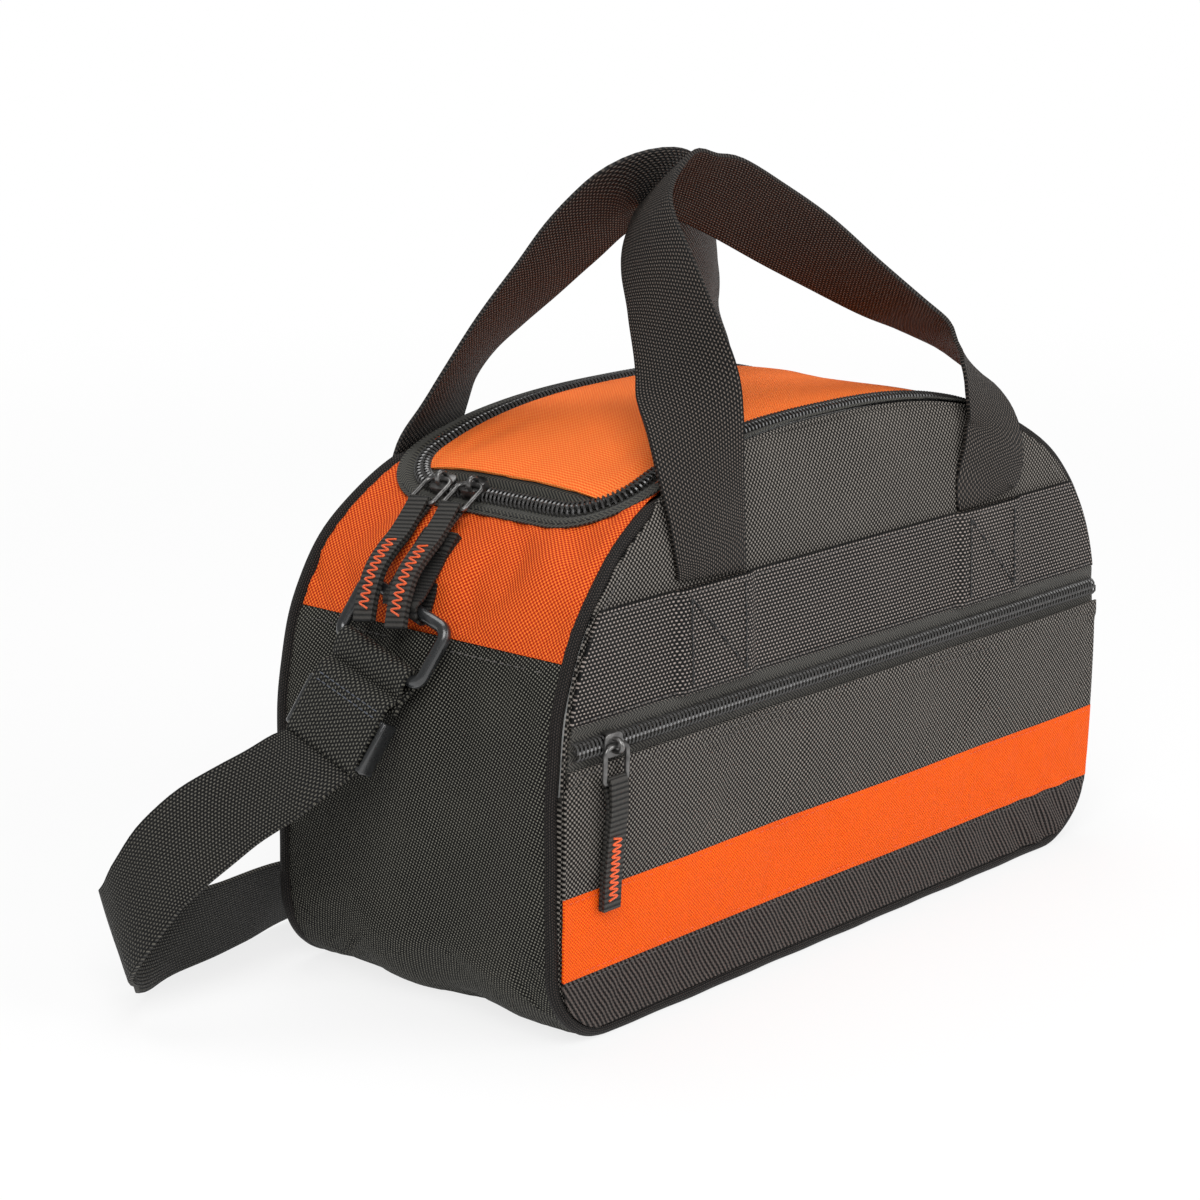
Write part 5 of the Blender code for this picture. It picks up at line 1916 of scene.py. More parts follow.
@dataclass
class Lining:
    """The foam in the walls and the foil tub inside them."""

    foam: float = 0.0039
    wall_in: float = 0.0013
    foam_lift: float = -0.0023
    foil: float = 0.0004
    foil_lift: float = -0.0066
    foil_wall: float = -0.0059

    def build(self) -> None:
        """Make the foams and the tub."""
        reach = FORM.total / 2 - (FORM.length / 2 - FORM.base_corner)
        inner = FORM.depth / 2 - FORM.panel_in - FORM.cloth - 0.0040 - 3 * FORM.seam

        def edge(place: Array) -> Array:
            """Return the half width."""
            return inner - FORM.lean(FORM.at(place)[..., 1])

        strips = (("base_foam", reach, FORM.total - reach),
                  ("right_foam", FORM.hinge + 0.0004, reach - 0.0003),
                  ("left_foam", -reach + 0.0003, FORM.tongue - 0.0035))
        for name, low, high in strips:
            piece = cloth_piece(name, 60, 24, Strip(low, high, edge, self.foam_lift).surface, self.foam,
                                Finishes.FOAM, off_arch)
        for side in Side:
            name = side.name.lower() + "_foam"
            plate = Plate(side, FORM.cell + 0.0004, -self.wall_in)
            piece = cloth_piece(name, 72, 40, plate.surface, self.foam, Finishes.FOAM, facing(side))
        self.tub()

    def tub(self) -> None:
        """Make the foil tub: a strip round the inside and two walls."""
        lift, wall = self.foil_lift, self.foil_wall
        low, high = FORM.hinge + 0.0004, FORM.total + FORM.tongue - 0.0034

        def edge(place: Array) -> Array:
            """Return the half width."""
            return FORM.face(FORM.at(place, lift)[..., 1]) + wall

        def crinkle(u: Array, v: Array) -> Array:
            """Return the creases of the foil."""
            return 0.0004 * (ripple(u, v, 0.035, 7.0) - 1.2)

        strip = Bench.sheet("tub_strip", 160, 30, Strip(low, high, edge, lift, crinkle).surface)
        pieces = [strip]
        Bench.face_out(strip, off_arch)
        for side in Side:
            plate = Plate(side, -lift, wall, relief=crinkle)
            sheet = Bench.sheet("tub_wall", 90, 50, plate.surface)
            Bench.face_out(sheet, facing(side))
            pieces.append(sheet)
        piece = Bench.joined("inner_liner", pieces)
        Bench.apply(piece, "SOLIDIFY", thickness=self.foil, offset=-1.0)
        Bench.smooth(piece)
        Bench.ready(piece, Finishes.FOIL, "bag", ("inner_liner",))


@dataclass
class Bands:
    """The webbing bands across the front and back, and the handle ends under them."""

    thickness: float = 0.0017
    end_thickness: float = 0.0016
    ramp: float = 0.0055

    def lift(self, x: Array, z: Array) -> Array:
        """Return how far the handle ends under a band lift it.

        Args:
            x: places along X.
            z: heights, not used.

        Returns:
            The lift over what lies below.
        """
        clear = np.abs(np.abs(x) - FORM.leg_spacing / 2) - FORM.webbing_width / 2 + 0.001
        share = np.clip(clear / self.ramp, 0, 1)
        return (self.end_thickness + FORM.seam) * (1 - eased(share))

    def relief(self, x: Array, z: Array) -> Array:
        """Return a band's lift and its own slight waves."""
        return self.lift(x, z) + 0.00018 * ripple(x, z, 0.05, 4.0)

    def build(self) -> None:
        """Make both bands with their stitches."""
        low, high = FORM.band_low, FORM.band_low + FORM.webbing_width
        dark, grey = Needle(0.0031, 0.0031, 0.00040), Needle(0.0022, 0.0029, 0.00022)
        for side in Side:
            name = side.name.lower() + "_band"
            plate = Plate(side, FORM.cell - 0.0003, FORM.seam + self.thickness, low, high, self.relief)
            cloth_piece(name, 240, 14, plate.surface, self.thickness, Finishes.BAND, facing(side),
                        bevel=0.0004)
            for end, sign in (("left", -1), ("right", 1)):
                centre = sign * FORM.leg_spacing / 2
                self.handle_end(f"{name[:-5]}_handle_end_{end}", side, centre, low, high)
                self.box(dark, side, centre, low, high)
            for edge in (low + 0.0016, high - 0.0016):
                self.row(grey, side, edge)
        dark.finish("band_box_stitches", Finishes.DARK_THREAD, "bag")
        grey.finish("band_edge_stitches", Finishes.GREY_THREAD, "bag")

    def handle_end(self, name: str, side: Side, centre: float, low: float, high: float) -> None:
        """Make the end of a handle that is sewn under the band.

        Args:
            name: the name it gets.
            side: the large side.
            centre: the middle of the handle end along X.
            low: the band's lower edge.
            high: the band's upper edge.
        """
        half = FORM.webbing_width / 2

        def surface(a: Array, b: Array) -> tuple[Array, Array]:
            """Return the points of the middle layer.

            Args:
                a: shares along the piece.
                b: shares across the piece.

            Returns:
                Points and lengths in the cloth.
            """
            z = low + 0.0004 + (high - low - 0.0004) * a
            x = centre + (2 * b - 1) * half
            y = side.value * (FORM.face(z) + FORM.seam + self.end_thickness)
            return np.stack([x, y, z], 1), np.stack([z, x - centre], 1)

        cloth_piece(name, 10, 8, surface, self.end_thickness, Finishes.HANDLE, facing(side))

    def over(self, side: Side, x: float, z: float) -> Vector:
        """Return the point on a band's outer face."""
        y = FORM.face(z) + FORM.seam + self.thickness + float(self.lift(np.array(x), np.array(z)))
        return Vector((x, side.value * (y + 0.0002), z))

    def box(self, needle: Needle, side: Side, centre: float, low: float, high: float) -> None:
        """Sew the box with one slanted line that holds a handle end.

        Args:
            needle: the needle that sews.
            side: the large side.
            centre: the middle of the handle end along X.
            low: the band's lower edge.
            high: the band's upper edge.
        """
        half = FORM.webbing_width / 2 - 0.004
        out = Vector((0.0, side.value, 0.0))
        left, right, below, above = centre - half, centre + half, low + 0.003, high - 0.003
        for start, end in (((left, below), (left, above)), ((right, below), (right, above)),
                           ((left, above), (right, low + 0.004))):
            needle.line(self.over(side, *start), self.over(side, *end), out)

    def row(self, needle: Needle, side: Side, height: float) -> None:
        """Sew a row along a band's edge.

        Args:
            needle: the needle that sews.
            side: the large side.
            height: its height.
        """
        heights, reaches = FORM.loop(FORM.cell + 0.002)
        reach = float(np.interp(height, heights, reaches))
        points = np.array([self.over(side, x, height) for x in np.linspace(-reach, reach, 300)])
        needle.row(points, facing(side)(points))


@dataclass
class Handles:
    """Both carry handles, each a twisted length of webbing."""

    thickness: float = 0.0016
    pivot_rise: float = 0.0020
    stand_off: float = 0.0008
    rise: float = 0.078
    meeting: float = 0.0040
    step: float = 0.0030
    front: tuple = (
        (1.0, 0.0, 0.0, 1.0, 0.0, 0.0), (1.0, 0.0, 0.05, 0.97, -0.08, -0.1),
        (1.05, 0.0, 0.14, 0.92, -0.08, -0.3), (1.11, 0.05, 0.22, 0.94, -0.04, -0.32),
        (1.12, 0.12, 0.31, 0.97, 0.19, -0.14), (1.12, 0.2, 0.38, 0.9, 0.39, -0.17),
        (1.11, 0.29, 0.43, 0.77, 0.61, -0.2), (1.07, 0.38, 0.48, 0.59, 0.8, -0.11),
        (0.99, 0.47, 0.54, 0.36, 0.92, -0.19), (0.83, 0.56, 0.61, 0.22, 0.93, -0.28),
        (0.58, 0.7, 0.73, 0.08, 0.91, -0.41), (0.32, 0.81, 0.85, -0.09, 0.84, -0.53),
        (0.07, 0.89, 0.95, -0.16, 0.81, -0.57), (-0.18, 0.92, 1.03, -0.18, 0.77, -0.61),
        (-0.33, 0.94, 1.06, -0.09, 0.81, -0.57), (-0.44, 0.94, 1.07, 0.0, 0.77, -0.64),
        (-0.56, 0.89, 1.04, 0.07, 0.74, -0.66), (-0.69, 0.82, 0.98, 0.11, 0.71, -0.69),
        (-0.79, 0.71, 0.91, 0.1, 0.72, -0.69), (-0.87, 0.52, 0.79, -0.01, 0.81, -0.59),
        (-0.93, 0.32, 0.62, -0.28, 0.86, -0.42), (-0.99, 0.15, 0.46, -0.86, 0.51, -0.05),
        (-1.03, 0.05, 0.31, -0.97, 0.25, 0.06), (-1.03, 0.0, 0.18, -0.99, 0.08, -0.04),
        (-1.0, 0.0, 0.05, -1.0, 0.0, 0.0), (-1.0, 0.0, 0.0, -1.0, 0.0, 0.0))
    back: tuple = (
        (1.00, 0.00, 0.00, 1.00, 0.00, 0.00), (1.00, 0.00, 0.05, 1.00, 0.00, 0.00),
        (0.99, 0.01, 0.16, 0.99, -0.03, 0.03), (0.95, 0.05, 0.30, 0.93, -0.25, 0.10),
        (0.83, 0.14, 0.43, 0.84, -0.42, 0.22), (0.67, 0.34, 0.56, 0.70, -0.42, 0.52),
        (0.42, 0.58, 0.70, 0.50, -0.25, 0.80), (0.08, 0.82, 0.87, 0.30, 0.05, 0.92),
        (-0.16, 0.95, 0.97, 0.12, 0.35, 0.90), (-0.36, 1.00, 1.02, -0.08, 0.48, 0.85),
        (-0.50, 0.95, 1.01, -0.35, 0.44, 0.80), (-0.58, 0.86, 0.96, -0.55, 0.35, 0.72),
        (-0.66, 0.73, 0.87, -0.70, 0.28, 0.62), (-0.74, 0.60, 0.77, -0.80, 0.30, 0.48),
        (-0.84, 0.46, 0.66, -0.83, 0.38, 0.39), (-0.92, 0.34, 0.56, -0.80, 0.46, 0.34),
        (-0.98, 0.24, 0.46, -0.84, 0.44, 0.26), (-1.01, 0.16, 0.37, -0.92, 0.30, 0.12),
        (-1.03, 0.06, 0.26, -0.98, 0.12, 0.05), (-1.02, 0.00, 0.14, -1.00, 0.02, 0.00),
        (-1.00, 0.00, 0.05, -1.00, 0.00, 0.00), (-1.00, 0.00, 0.00, -1.00, 0.00, 0.00))

    def build(self) -> None:
        """Make both handles."""
        height = FORM.band_low + FORM.webbing_width + self.pivot_rise
        reach = float(FORM.face(height)) + self.stand_off + self.thickness / 2
        rise = FORM.height + self.rise - height
        for side, shares in ((Side.FRONT, self.front), (Side.BACK, self.back)):
            rows = []
            for x, inward, up, wx, wy, wz in shares:
                y = side.value * (reach - inward * (reach - self.meeting))
                rows.append((x * FORM.leg_spacing / 2, y, height + up * rise, wx, -side.value * wy, wz))
            name = side.name.lower() + "_handle"
            piece = Bench.ribbon(name, Bench.route(rows, self.step), FORM.webbing_width, self.thickness, 10,
                                 0.0009)
            Bench.ready(piece, Finishes.HANDLE, name + "_body", (name,))


@dataclass
class Pocket:
    """The front pocket: its zip, its cloth, the orange stripe and the strip below it."""

    zip_drop: float = 0.0085
    tape_height: float = 0.018
    tape: float = 0.0007
    top_drop: float = 0.0065
    lift: float = 0.0012
    ramp: float = 0.0045
    stripe_top: float = 0.057
    stripe_bottom: float = 0.0265
    bottom: float = 0.0045
    pitch: float = 0.0020

    @property
    def zip_height(self) -> float:
        """Return the height of the pocket's zip."""
        return FORM.band_low - self.zip_drop

    @property
    def top(self) -> float:
        """Return the height of the pocket cloth's folded top edge."""
        return self.zip_height - self.top_drop

    def rise(self, x: Array, z: Array) -> Array:
        """Return how far the cloth is lifted where it meets the zip."""
        share = np.clip((self.top - self.ramp - z) / self.ramp, 0, 1)
        return (self.lift - FORM.seam) * (1 - eased(share))

    def sag(self, x: Array, z: Array) -> Array:
        """Return the cloth's soft waves, with the creases at the lower right corner.

        Args:
            x: places along X.
            z: heights.

        Returns:
            The depth of the folds.
        """
        wave = 0.0006 * (ripple(x, z, 0.12, 6.0) + 0.8)
        corner = np.exp(-(((x - 0.135) / 0.030) ** 2 + ((z - 0.012) / 0.016) ** 2))
        crease = 0.0012 * corner * (np.sin((x * 0.8 + z * 0.9) * 420) + 0.6)
        return wave + crease

    def cloths(self) -> None:
        """Make the three pieces of cloth."""
        parts = (("pocket_panel", self.stripe_top, self.top, Finishes.FRONT_CLOTH, 24),
                 ("pocket_stripe", self.stripe_bottom, self.stripe_top + 0.0002, Finishes.ORANGE_STRIPE, 16),
                 ("pocket_lower_panel", self.bottom, self.stripe_bottom + 0.0002, Finishes.HEM_CLOTH, 14))
        for name, low, high, finish, rows in parts:
            over = 0.0002 if name == "pocket_stripe" else 0.0

            def relief(x: Array, z: Array, over: float = over) -> Array:
                """Return the lift of the cloth."""
                return self.rise(x, z) + self.sag(x, z) + over

            plate = Plate(Side.FRONT, FORM.cell - 0.0006, FORM.seam + FORM.cloth, low, high, relief)
            cloth_piece(name, 150, rows, plate.surface, FORM.cloth, finish, facing(Side.FRONT),
                        settle={"pinned": edges_pinned, "pressure": 0.5, "slack": 0.006, "cap": 0.0010})

    def zip(self) -> None:
        """Make the zip's tape and both rows of its coil."""
        tape_low = self.zip_height - self.tape_height / 2

        def relief(x: Array, z: Array) -> Array:
            """Return the lift of the cloth."""
            return 0.0005 * np.clip((z - self.zip_height - 0.003) / 0.004, 0, 1)

        plate = Plate(Side.FRONT, FORM.cell + 0.0002, FORM.seam + self.tape, tape_low, FORM.band_low + 0.0004,
                      relief)
        cloth_piece("pocket_zip_tape", 150, 10, plate.surface, self.tape, Finishes.POCKET_TAPE,
                    facing(Side.FRONT))
        heights, reaches = FORM.loop(FORM.cell + 0.001)
        reach = float(np.interp(self.zip_height, heights, reaches))
        face = -(float(FORM.face(self.zip_height)) + FORM.seam * 2 + self.tape)
        frames = []
        for sign, first in ((-1, 0.75), (1, 0.25)):
            for k in range(int(2 * reach // self.pitch)):
                x = -reach + (k + first) * self.pitch
                origin = (x, face - 0.0004, self.zip_height)
                frames.append(placed(((1, 0, 0), (0, 0, sign), (0, -1, 0)), origin))
        piece = Bench.repeat("pocket_zip_coil", MainZip().tooth(), frames)
        Bench.turn_faces_out(piece)
        Bench.ready(piece, Finishes.COIL, "bag", ("pocket_zip_chain",))

    def stitches(self) -> None:
        """Sew the rows under the zip and along the stripe."""
        grey, orange = Needle(0.0022, 0.0030, 0.0002), Needle(0.0022, 0.0030, 0.0002)
        rows = ((grey, self.top - 0.0022), (grey, self.top - 0.0052), (grey, self.stripe_bottom - 0.0016),
                (orange, self.stripe_top - 0.0016), (orange, self.stripe_bottom + 0.0018))
        heights, reaches = FORM.loop(FORM.cell + 0.001)
        for needle, height in rows:
            reach = float(np.interp(height, heights, reaches))
            x = np.linspace(-reach, reach, 400)
            z = np.full_like(x, height)
            y = -(FORM.face(z) + FORM.seam + FORM.cloth + self.rise(x, z) + self.sag(x, z) + 0.0002)
            needle.row(np.stack([x, y, z], 1), facing(Side.FRONT)(x))
        grey.finish("pocket_stitches", Finishes.GREY_THREAD, "bag")
        orange.finish("stripe_stitches", Finishes.ORANGE_THREAD, "bag")

    def build(self) -> None:
        """Make the whole pocket."""
        self.cloths()
        self.zip()
        self.stitches()


@dataclass
class PullSizes:
    """Sizes of the wire bails and ribbon pulls."""

    wire: float = 0.00065
    bail_width: float = 0.0102
    bail_length: float = 0.0130
    bail_bend: float = 0.0030
    stouter: float = 1.45
    width: float = 0.0092
    length: float = 0.0470
    thickness: float = 0.0026
    tip: float = 0.04
    slant: float = 0.18


@dataclass
class Sliders:
    """The three zip sliders, each with its wire bail and ribbon pull."""

    length: float = 0.0094
    width: float = 0.0088
    plate: float = 0.0011
    clearance: float = 0.0005
    crown: float = 0.0031
    crown_wall: float = 0.0011
    crown_bend: float = 0.00235
    crown_wire: float = 0.00078
    crown_rise: float = 0.00095
    nose: float = 0.0012
    chain_half: float = 0.0030
    chain_height: float = 0.0028
    rear_in: float = 0.0017
    spacing: float = 0.0158
    pocket_in: float = 0.024
    sewn: tuple = (0.28, 0.90)
    turns: int = 21
    swing: float = 0.0021
    pull: PullSizes = field(default_factory=PullSizes)
    main_shares: tuple = ((0.00, 1.85), (0.14, 2.05), (0.30, 2.45), (0.45, 3.45), (0.60, 4.45), (0.72, 4.80),
                          (0.86, 4.85), (1.00, 4.75))
    pocket_shares: tuple = ((0.00, 2.90), (0.20, 2.75), (0.45, 2.30), (0.72, 1.90), (1.00, 1.75))

    def slider(self, name: str, spot: Matrix, chain_low: float) -> float:
        """Make a slider in its own frame and return the height of the hole in its crown.

        Args:
            name: the name it gets.
            spot: the frame it stands in.
            chain_low: the height of the underside of the chain.

        Returns:
            The distance of the crown's hole from the chain.
        """
        chain_high = chain_low + self.chain_height
        low = chain_high + self.clearance
        high = low + self.plate
        top = Bench.rounded_block(name + "_top", (self.length, self.width, self.plate), 0.00035, 0.0026)
        top.location = (0, 0, low + self.plate / 2)
        parts = [top]
        for sign in (-1, 1):
            wall = self.width / 2 - self.chain_half - self.clearance
            flange_low = chain_low + self.clearance
            tall = low + self.plate / 2 - flange_low
            flange = Bench.rounded_block(name + "_flange", (self.length * 0.62, wall, tall), 0.0002)
            flange.location = (0, sign * (self.width / 2 - wall / 2), flange_low + tall / 2)
            parts.append(flange)
        Bench.clear()
        bpy.ops.mesh.primitive_torus_add(major_segments=28, minor_segments=10, major_radius=self.crown_bend,
                                         minor_radius=self.crown_wire, rotation=(0, math.pi / 2, 0),
                                         location=(0, 0, high + self.crown_rise))
        crown = Bench.named(name + "_crown")
        crown.scale = (1.15, 1.0, 1.45)
        parts.append(crown)
        Bench.clear()
        bpy.ops.mesh.primitive_uv_sphere_add(segments=16, ring_count=8, radius=self.nose,
                                             location=(self.length * 0.30, 0, high))
        nose = Bench.named(name + "_nose")
        nose.scale = (1.3, 1.2, 0.4)
        parts.append(nose)
        for part in parts:
            Bench.settle_place(part)
        piece = Bench.joined(name, parts)
        piece.data.transform(spot)
        Bench.smooth(piece, 45.0)
        Bench.ready(piece, Finishes.METAL, name + "_body", (name,))
        return high + (self.crown - self.crown_wall) / 2

    def bail(self, name: str, pivot: Vector, along: Vector, down: Vector, body: str) -> None:
        """Make a wire bail: a rounded loop through the crown.

        Args:
            name: the name it gets.
            pivot: the place that it hangs from.
            along: the direction across the pull.
            down: the direction that it hangs in.
            body: the body it moves with.
        """
        size = self.pull
        points = rounded_loop(pivot + down * (size.bail_length / 2), along, down,
                              (size.bail_width + 2 * size.wire, size.bail_length),
                              (2 * size.wire, size.bail_bend), 6)
        piece = Bench.tube(name, points, size.wire * size.stouter, 12, True,
                           up=along.cross(down).normalized())
        Bench.ready(piece, Finishes.METAL, body, (name,))

    def ribbon(self, name: str, pivot: Vector, along: Vector, down: Vector, out: Vector,
               route: list[Vector], body: str) -> None:
        """Make a ribbon pull folded over its bail, with its zigzag stitch.

        Args:
            name: the name it gets.
            pivot: the place that it hangs from.
            along: the direction across the ribbon.
            down: the direction that it hangs in.
            out: the direction away from the bag.
            route: the points it passes.
            body: the body it moves with.
        """
        size = self.pull
        bar = pivot + down * size.bail_length
        layer = size.thickness / 2 - FORM.seam / 2
        loop = size.wire + FORM.seam + layer / 2
        apart = (layer + FORM.seam) / 2
        line = [bar] + route
        rows, front = folded(line, [along] * len(line), out, loop, apart)
        piece = Bench.ribbon(name, Bench.route(rows, 0.0014), size.width, layer, 6)
        Bench.ready(piece, Finishes.PULL, body, (name,))
        self.zigzag(name + "_zigzag", Bench.route(front, 0.001), along, out, body)

    def zigzag(self, name: str, rows: Array, along: Vector, out: Vector, body: str) -> None:
        """Sew the orange zigzag down the middle of a pull.

        Args:
            name: the name it gets.
            rows: the rows of places and directions.
            along: the direction across the ribbon.
            out: the direction away from the bag.
            body: the body it moves with.
        """
        layer = self.pull.thickness / 2 - FORM.seam / 2
        steps = travelled(rows[:, :3])
        tangent = np.gradient(rows[:, :3], axis=0)
        points = []
        for k, share in enumerate(np.linspace(*self.sewn, self.turns)):
            spot = steps[-1] * share
            normal = outward(Vector(sampled(spot, steps, tangent)).cross(along).normalized(), out)
            swing = self.swing * (1 if k % 2 else -1)
            points.append(Vector(sampled(spot, steps, rows)) + along * swing + normal * (layer / 2 + 0.0001))
        piece = Bench.tube(name, Bench.route(points, 0.0009), 0.00042, 6)
        Bench.ready(piece, Finishes.ORANGE_THREAD, body)

    def build(self) -> None:
        """Make the two sliders of the main zip and the one of the pocket."""
        size = self.pull
        along = Vector((0, 1, 0))
        tongue = FORM.tongue
        before, after = FORM.at(np.array([tongue - self.chain_half, tongue + self.chain_half]))
        across = Vector((before[0] - after[0], 0, before[1] - after[1])).normalized()
        out = outward(along.cross(across).normalized(), Vector((0, 0, 1)))
        middle = FORM.at(np.array(tongue))
        rear = FORM.zip_half - FORM.tongue_corner - self.rear_in
        for name, y in (("front", rear - self.spacing), ("rear", rear)):
            origin = Vector((middle[0], y, middle[1]))
            hole = self.slider(name + "_main_slider", placed((along, across, out), origin), -FORM.cloth)
            pivot = origin + out * hole
            route = []
            for share, lift in self.main_shares[1:]:
                place = tongue - size.bail_length - share * size.length
                x, z = FORM.at(np.array(place), lift * size.thickness)
                route.append(Vector((x, y - size.slant * share * size.length, z)))
            down = (across - out * size.tip).normalized()
            body = name + "_main_pull_body"
            self.bail(name + "_main_pull_bail", pivot, along, down, body)
            self.ribbon(name + "_main_pull", pivot, along, down, out, route, body)
        self.pocket()

    def pocket(self) -> None:
        """Make the pocket's slider, bail and pull."""
        size, height = self.pull, Pocket().zip_height
        along, across, out = Vector((1, 0, 0)), Vector((0, 0, -1)), Vector((0, -1, 0))
        place = self.pocket_in - FORM.length / 2
        origin = Vector((place, -float(FORM.face(height)), height))
        hole = self.slider("pocket_slider", placed((along, across, out), origin), 2 * FORM.seam + Pocket.tape)
        pivot = origin + out * hole
        top = pivot.z - size.bail_length
        route = []
        for share, lift in self.pocket_shares[1:]:
            z = top - share * size.length
            route.append(Vector((place, -float(FORM.face(z)) - lift * size.thickness, z)))
        down = Vector((0, size.tip, -1)).normalized()
        self.bail("pocket_pull_bail", pivot, along, down, "pocket_pull_body")
        self.ribbon("pocket_pull", pivot, along, down, out, route, "pocket_pull_body")


@dataclass
class ShoulderStrap:
    """The rings with their tabs, the shoulder strap and its slide adjuster."""

    thickness: float = 0.0016
    ring_wire: float = 0.0024
    ring_height: float = 0.0170
    ring_side: float = 0.0020
    ring_corner: float = 0.0042
    ring_drop: float = 0.0752
    ring_off: float = 0.0078
    left_back: float = 0.012
    tab_width: float = 0.025
    left_tab_width: float = 0.017
    tab_stitch: float = 0.0065
    tab_thickness: float = 0.0012
    tab_shift: float = 0.0100
    tab_drop: float = 0.034
    tab_sewn: float = 0.012
    fold: float = 0.014
    adjuster_place: float = 0.027
    adjuster_length: float = 0.020
    adjuster_bar: float = 0.0024
    straight: float = 0.047
    left_down: tuple = (-0.425, 0.259, -0.867)
    left_out: tuple = (-0.898, 0.00, 0.44)
    right_down: tuple = (0.44, 0.00, -0.898)
    right_out: tuple = (0.898, 0.00, 0.44)
    sleeve_lift: float = 0.0046
    sleeve_end: float = 0.0385
    sewn_half: float = 0.0172
    bends: tuple = (
        (-0.1965, 0.0262, 0.0935, 0.14, 0.94, 0.30), (-0.2045, 0.0340, 0.0862, 0.20, 0.88, 0.42),
        (-0.2135, 0.0415, 0.0795, 0.20, 0.84, 0.50), (-0.2225, 0.0478, 0.0725, 0.14, 0.80, 0.58),
        (-0.2300, 0.0535, 0.0650, 0.20, 0.74, 0.64), (-0.2360, 0.0583, 0.0575, 0.26, 0.70, 0.67),
        (-0.2400, 0.0625, 0.0495, 0.26, 0.70, 0.67), (-0.2425, 0.0665, 0.0425, 0.26, 0.70, 0.67),
        (-0.2432, 0.0710, 0.0360, 0.26, 0.70, 0.67), (-0.2418, 0.0760, 0.0305, 0.26, 0.70, 0.67),
        (-0.2370, 0.0805, 0.0262, 0.26, 0.70, 0.67), (-0.2290, 0.0838, 0.0222, 0.06, 0.34, 0.86),
        (-0.2180, 0.0860, 0.0195, -0.14, 0.02, 0.90), (-0.2040, 0.0874, 0.0178, -0.32, -0.26, 0.84),
        (-0.1860, 0.0885, 0.0172, -0.40, -0.36, 0.82), (-0.1600, 0.0910, 0.0175, -0.04, -0.42, 0.90),
        (-0.1300, 0.0925, 0.0173, 0.00, -0.58, 0.81), (-0.0672, 0.0932, 0.0172, 0.00, -0.60, 0.80),
        (0.0336, 0.0938, 0.0172, 0.00, -0.60, 0.80), (0.1260, 0.0925, 0.0178, -0.05, -0.58, 0.81),
        (0.1613, 0.0938, 0.0223, -0.25, -0.52, 0.82), (0.1898, 0.0870, 0.0355, -0.42, -0.55, 0.70),
        (0.2100, 0.0680, 0.0558, -0.36, -0.80, 0.40), (0.2100, 0.0408, 0.0792, -0.20, -0.96, -0.05))

    def end(self, sign: int, back: float, down: tuple, out: tuple) -> tuple[Vector, Vector, Vector, Vector]:
        """Return a strap end's bar with its down, out and across directions.

        Args:
            sign: the side it is on, -1 or 1.
            back: the bar's place across.
            down: the direction that it hangs in.
            out: the direction away from the bag.

        Returns:
            The origin and three directions of the end.
        """
        x, z = FORM.at(np.array(sign * FORM.place_at(1, FORM.height - self.ring_drop)), self.ring_off)
        down = Vector(down).normalized()
        out = Vector(out)
        out = (out - down * out.dot(down)).normalized()
        across = out.cross(down)
        return Vector((x, back, z)), down, out, outward(across, Vector((0, 1, 0)))

    def ring(self, name: str, ends: tuple) -> Vector:
        """Make a plastic ring and return its upper bar's centre.

        Args:
            name: the name it gets.
            ends: the origin and the three directions of the strap's end.

        Returns:
            The middle of the upper bar.
        """
        bar, down, _, across = ends
        reach = self.ring_height + 2 * self.ring_wire
        width = FORM.webbing_width + 2 * self.ring_side + 2 * self.ring_wire
        points = rounded_loop(bar - down * (reach / 2), across, -down, (width, reach),
                              (self.ring_corner,) * 2, 8)
        piece = Bench.tube(name, points, self.ring_wire, 20, True, up=across.cross(down).normalized())
        Bench.ready(piece, Finishes.PLASTIC, "bag", (name,))
        return bar - down * reach

    def tab(self, name: str, upper: Vector, ends: tuple, sign: int) -> None:
        """Make the ribbon tab that holds a ring on the gusset.

        Args:
            name: the name it gets.
            upper: the middle of the upper bar.
            ends: the origin and the three directions of the strap's end.
            sign: the side it is on, -1 or 1.
        """
        _, _, out, across = ends
        place = sign * FORM.place_at(1, FORM.height - self.tab_drop)
        loop = self.ring_wire + 2 * FORM.seam + self.tab_thickness / 2
        apart = (self.tab_thickness + FORM.seam) / 2
        lift = 3 * FORM.seam + self.tab_thickness
        line = [upper]
        shift = self.tab_shift if sign < 0 else 0.0
        for share in (1.0, 0.5, 0.0):
            x, z = FORM.at(np.array(place + sign * self.tab_sewn * share), lift)
            line.append(Vector((x, shift, z)))
        sides = [across] + [(across * (1 - k / 3) + Vector((0, k / 3, 0))).normalized() for k in (1, 2, 3)]
        rows, _ = folded(line, sides, out, loop, apart)
        width = self.tab_width if sign > 0 else self.left_tab_width
        piece = Bench.ribbon(name, Bench.route(rows, 0.0016), width, self.tab_thickness, 6)
        Bench.ready(piece, Finishes.TAB, "bag", (name,))
        needle = Needle(0.0020, 0.0026, 0.00022)
        middle, reach = line[-1].y, self.tab_stitch
        for share in (0.25, 0.75):
            x, z = FORM.at(np.array(place + sign * self.tab_sewn * share),
                           lift + apart + self.tab_thickness / 2)
            needle.line(Vector((x, middle - reach, z)), Vector((x, middle + reach, z)), FORM.out(place))
        needle.finish(name + "_stitches", Finishes.DARK_THREAD, "bag")

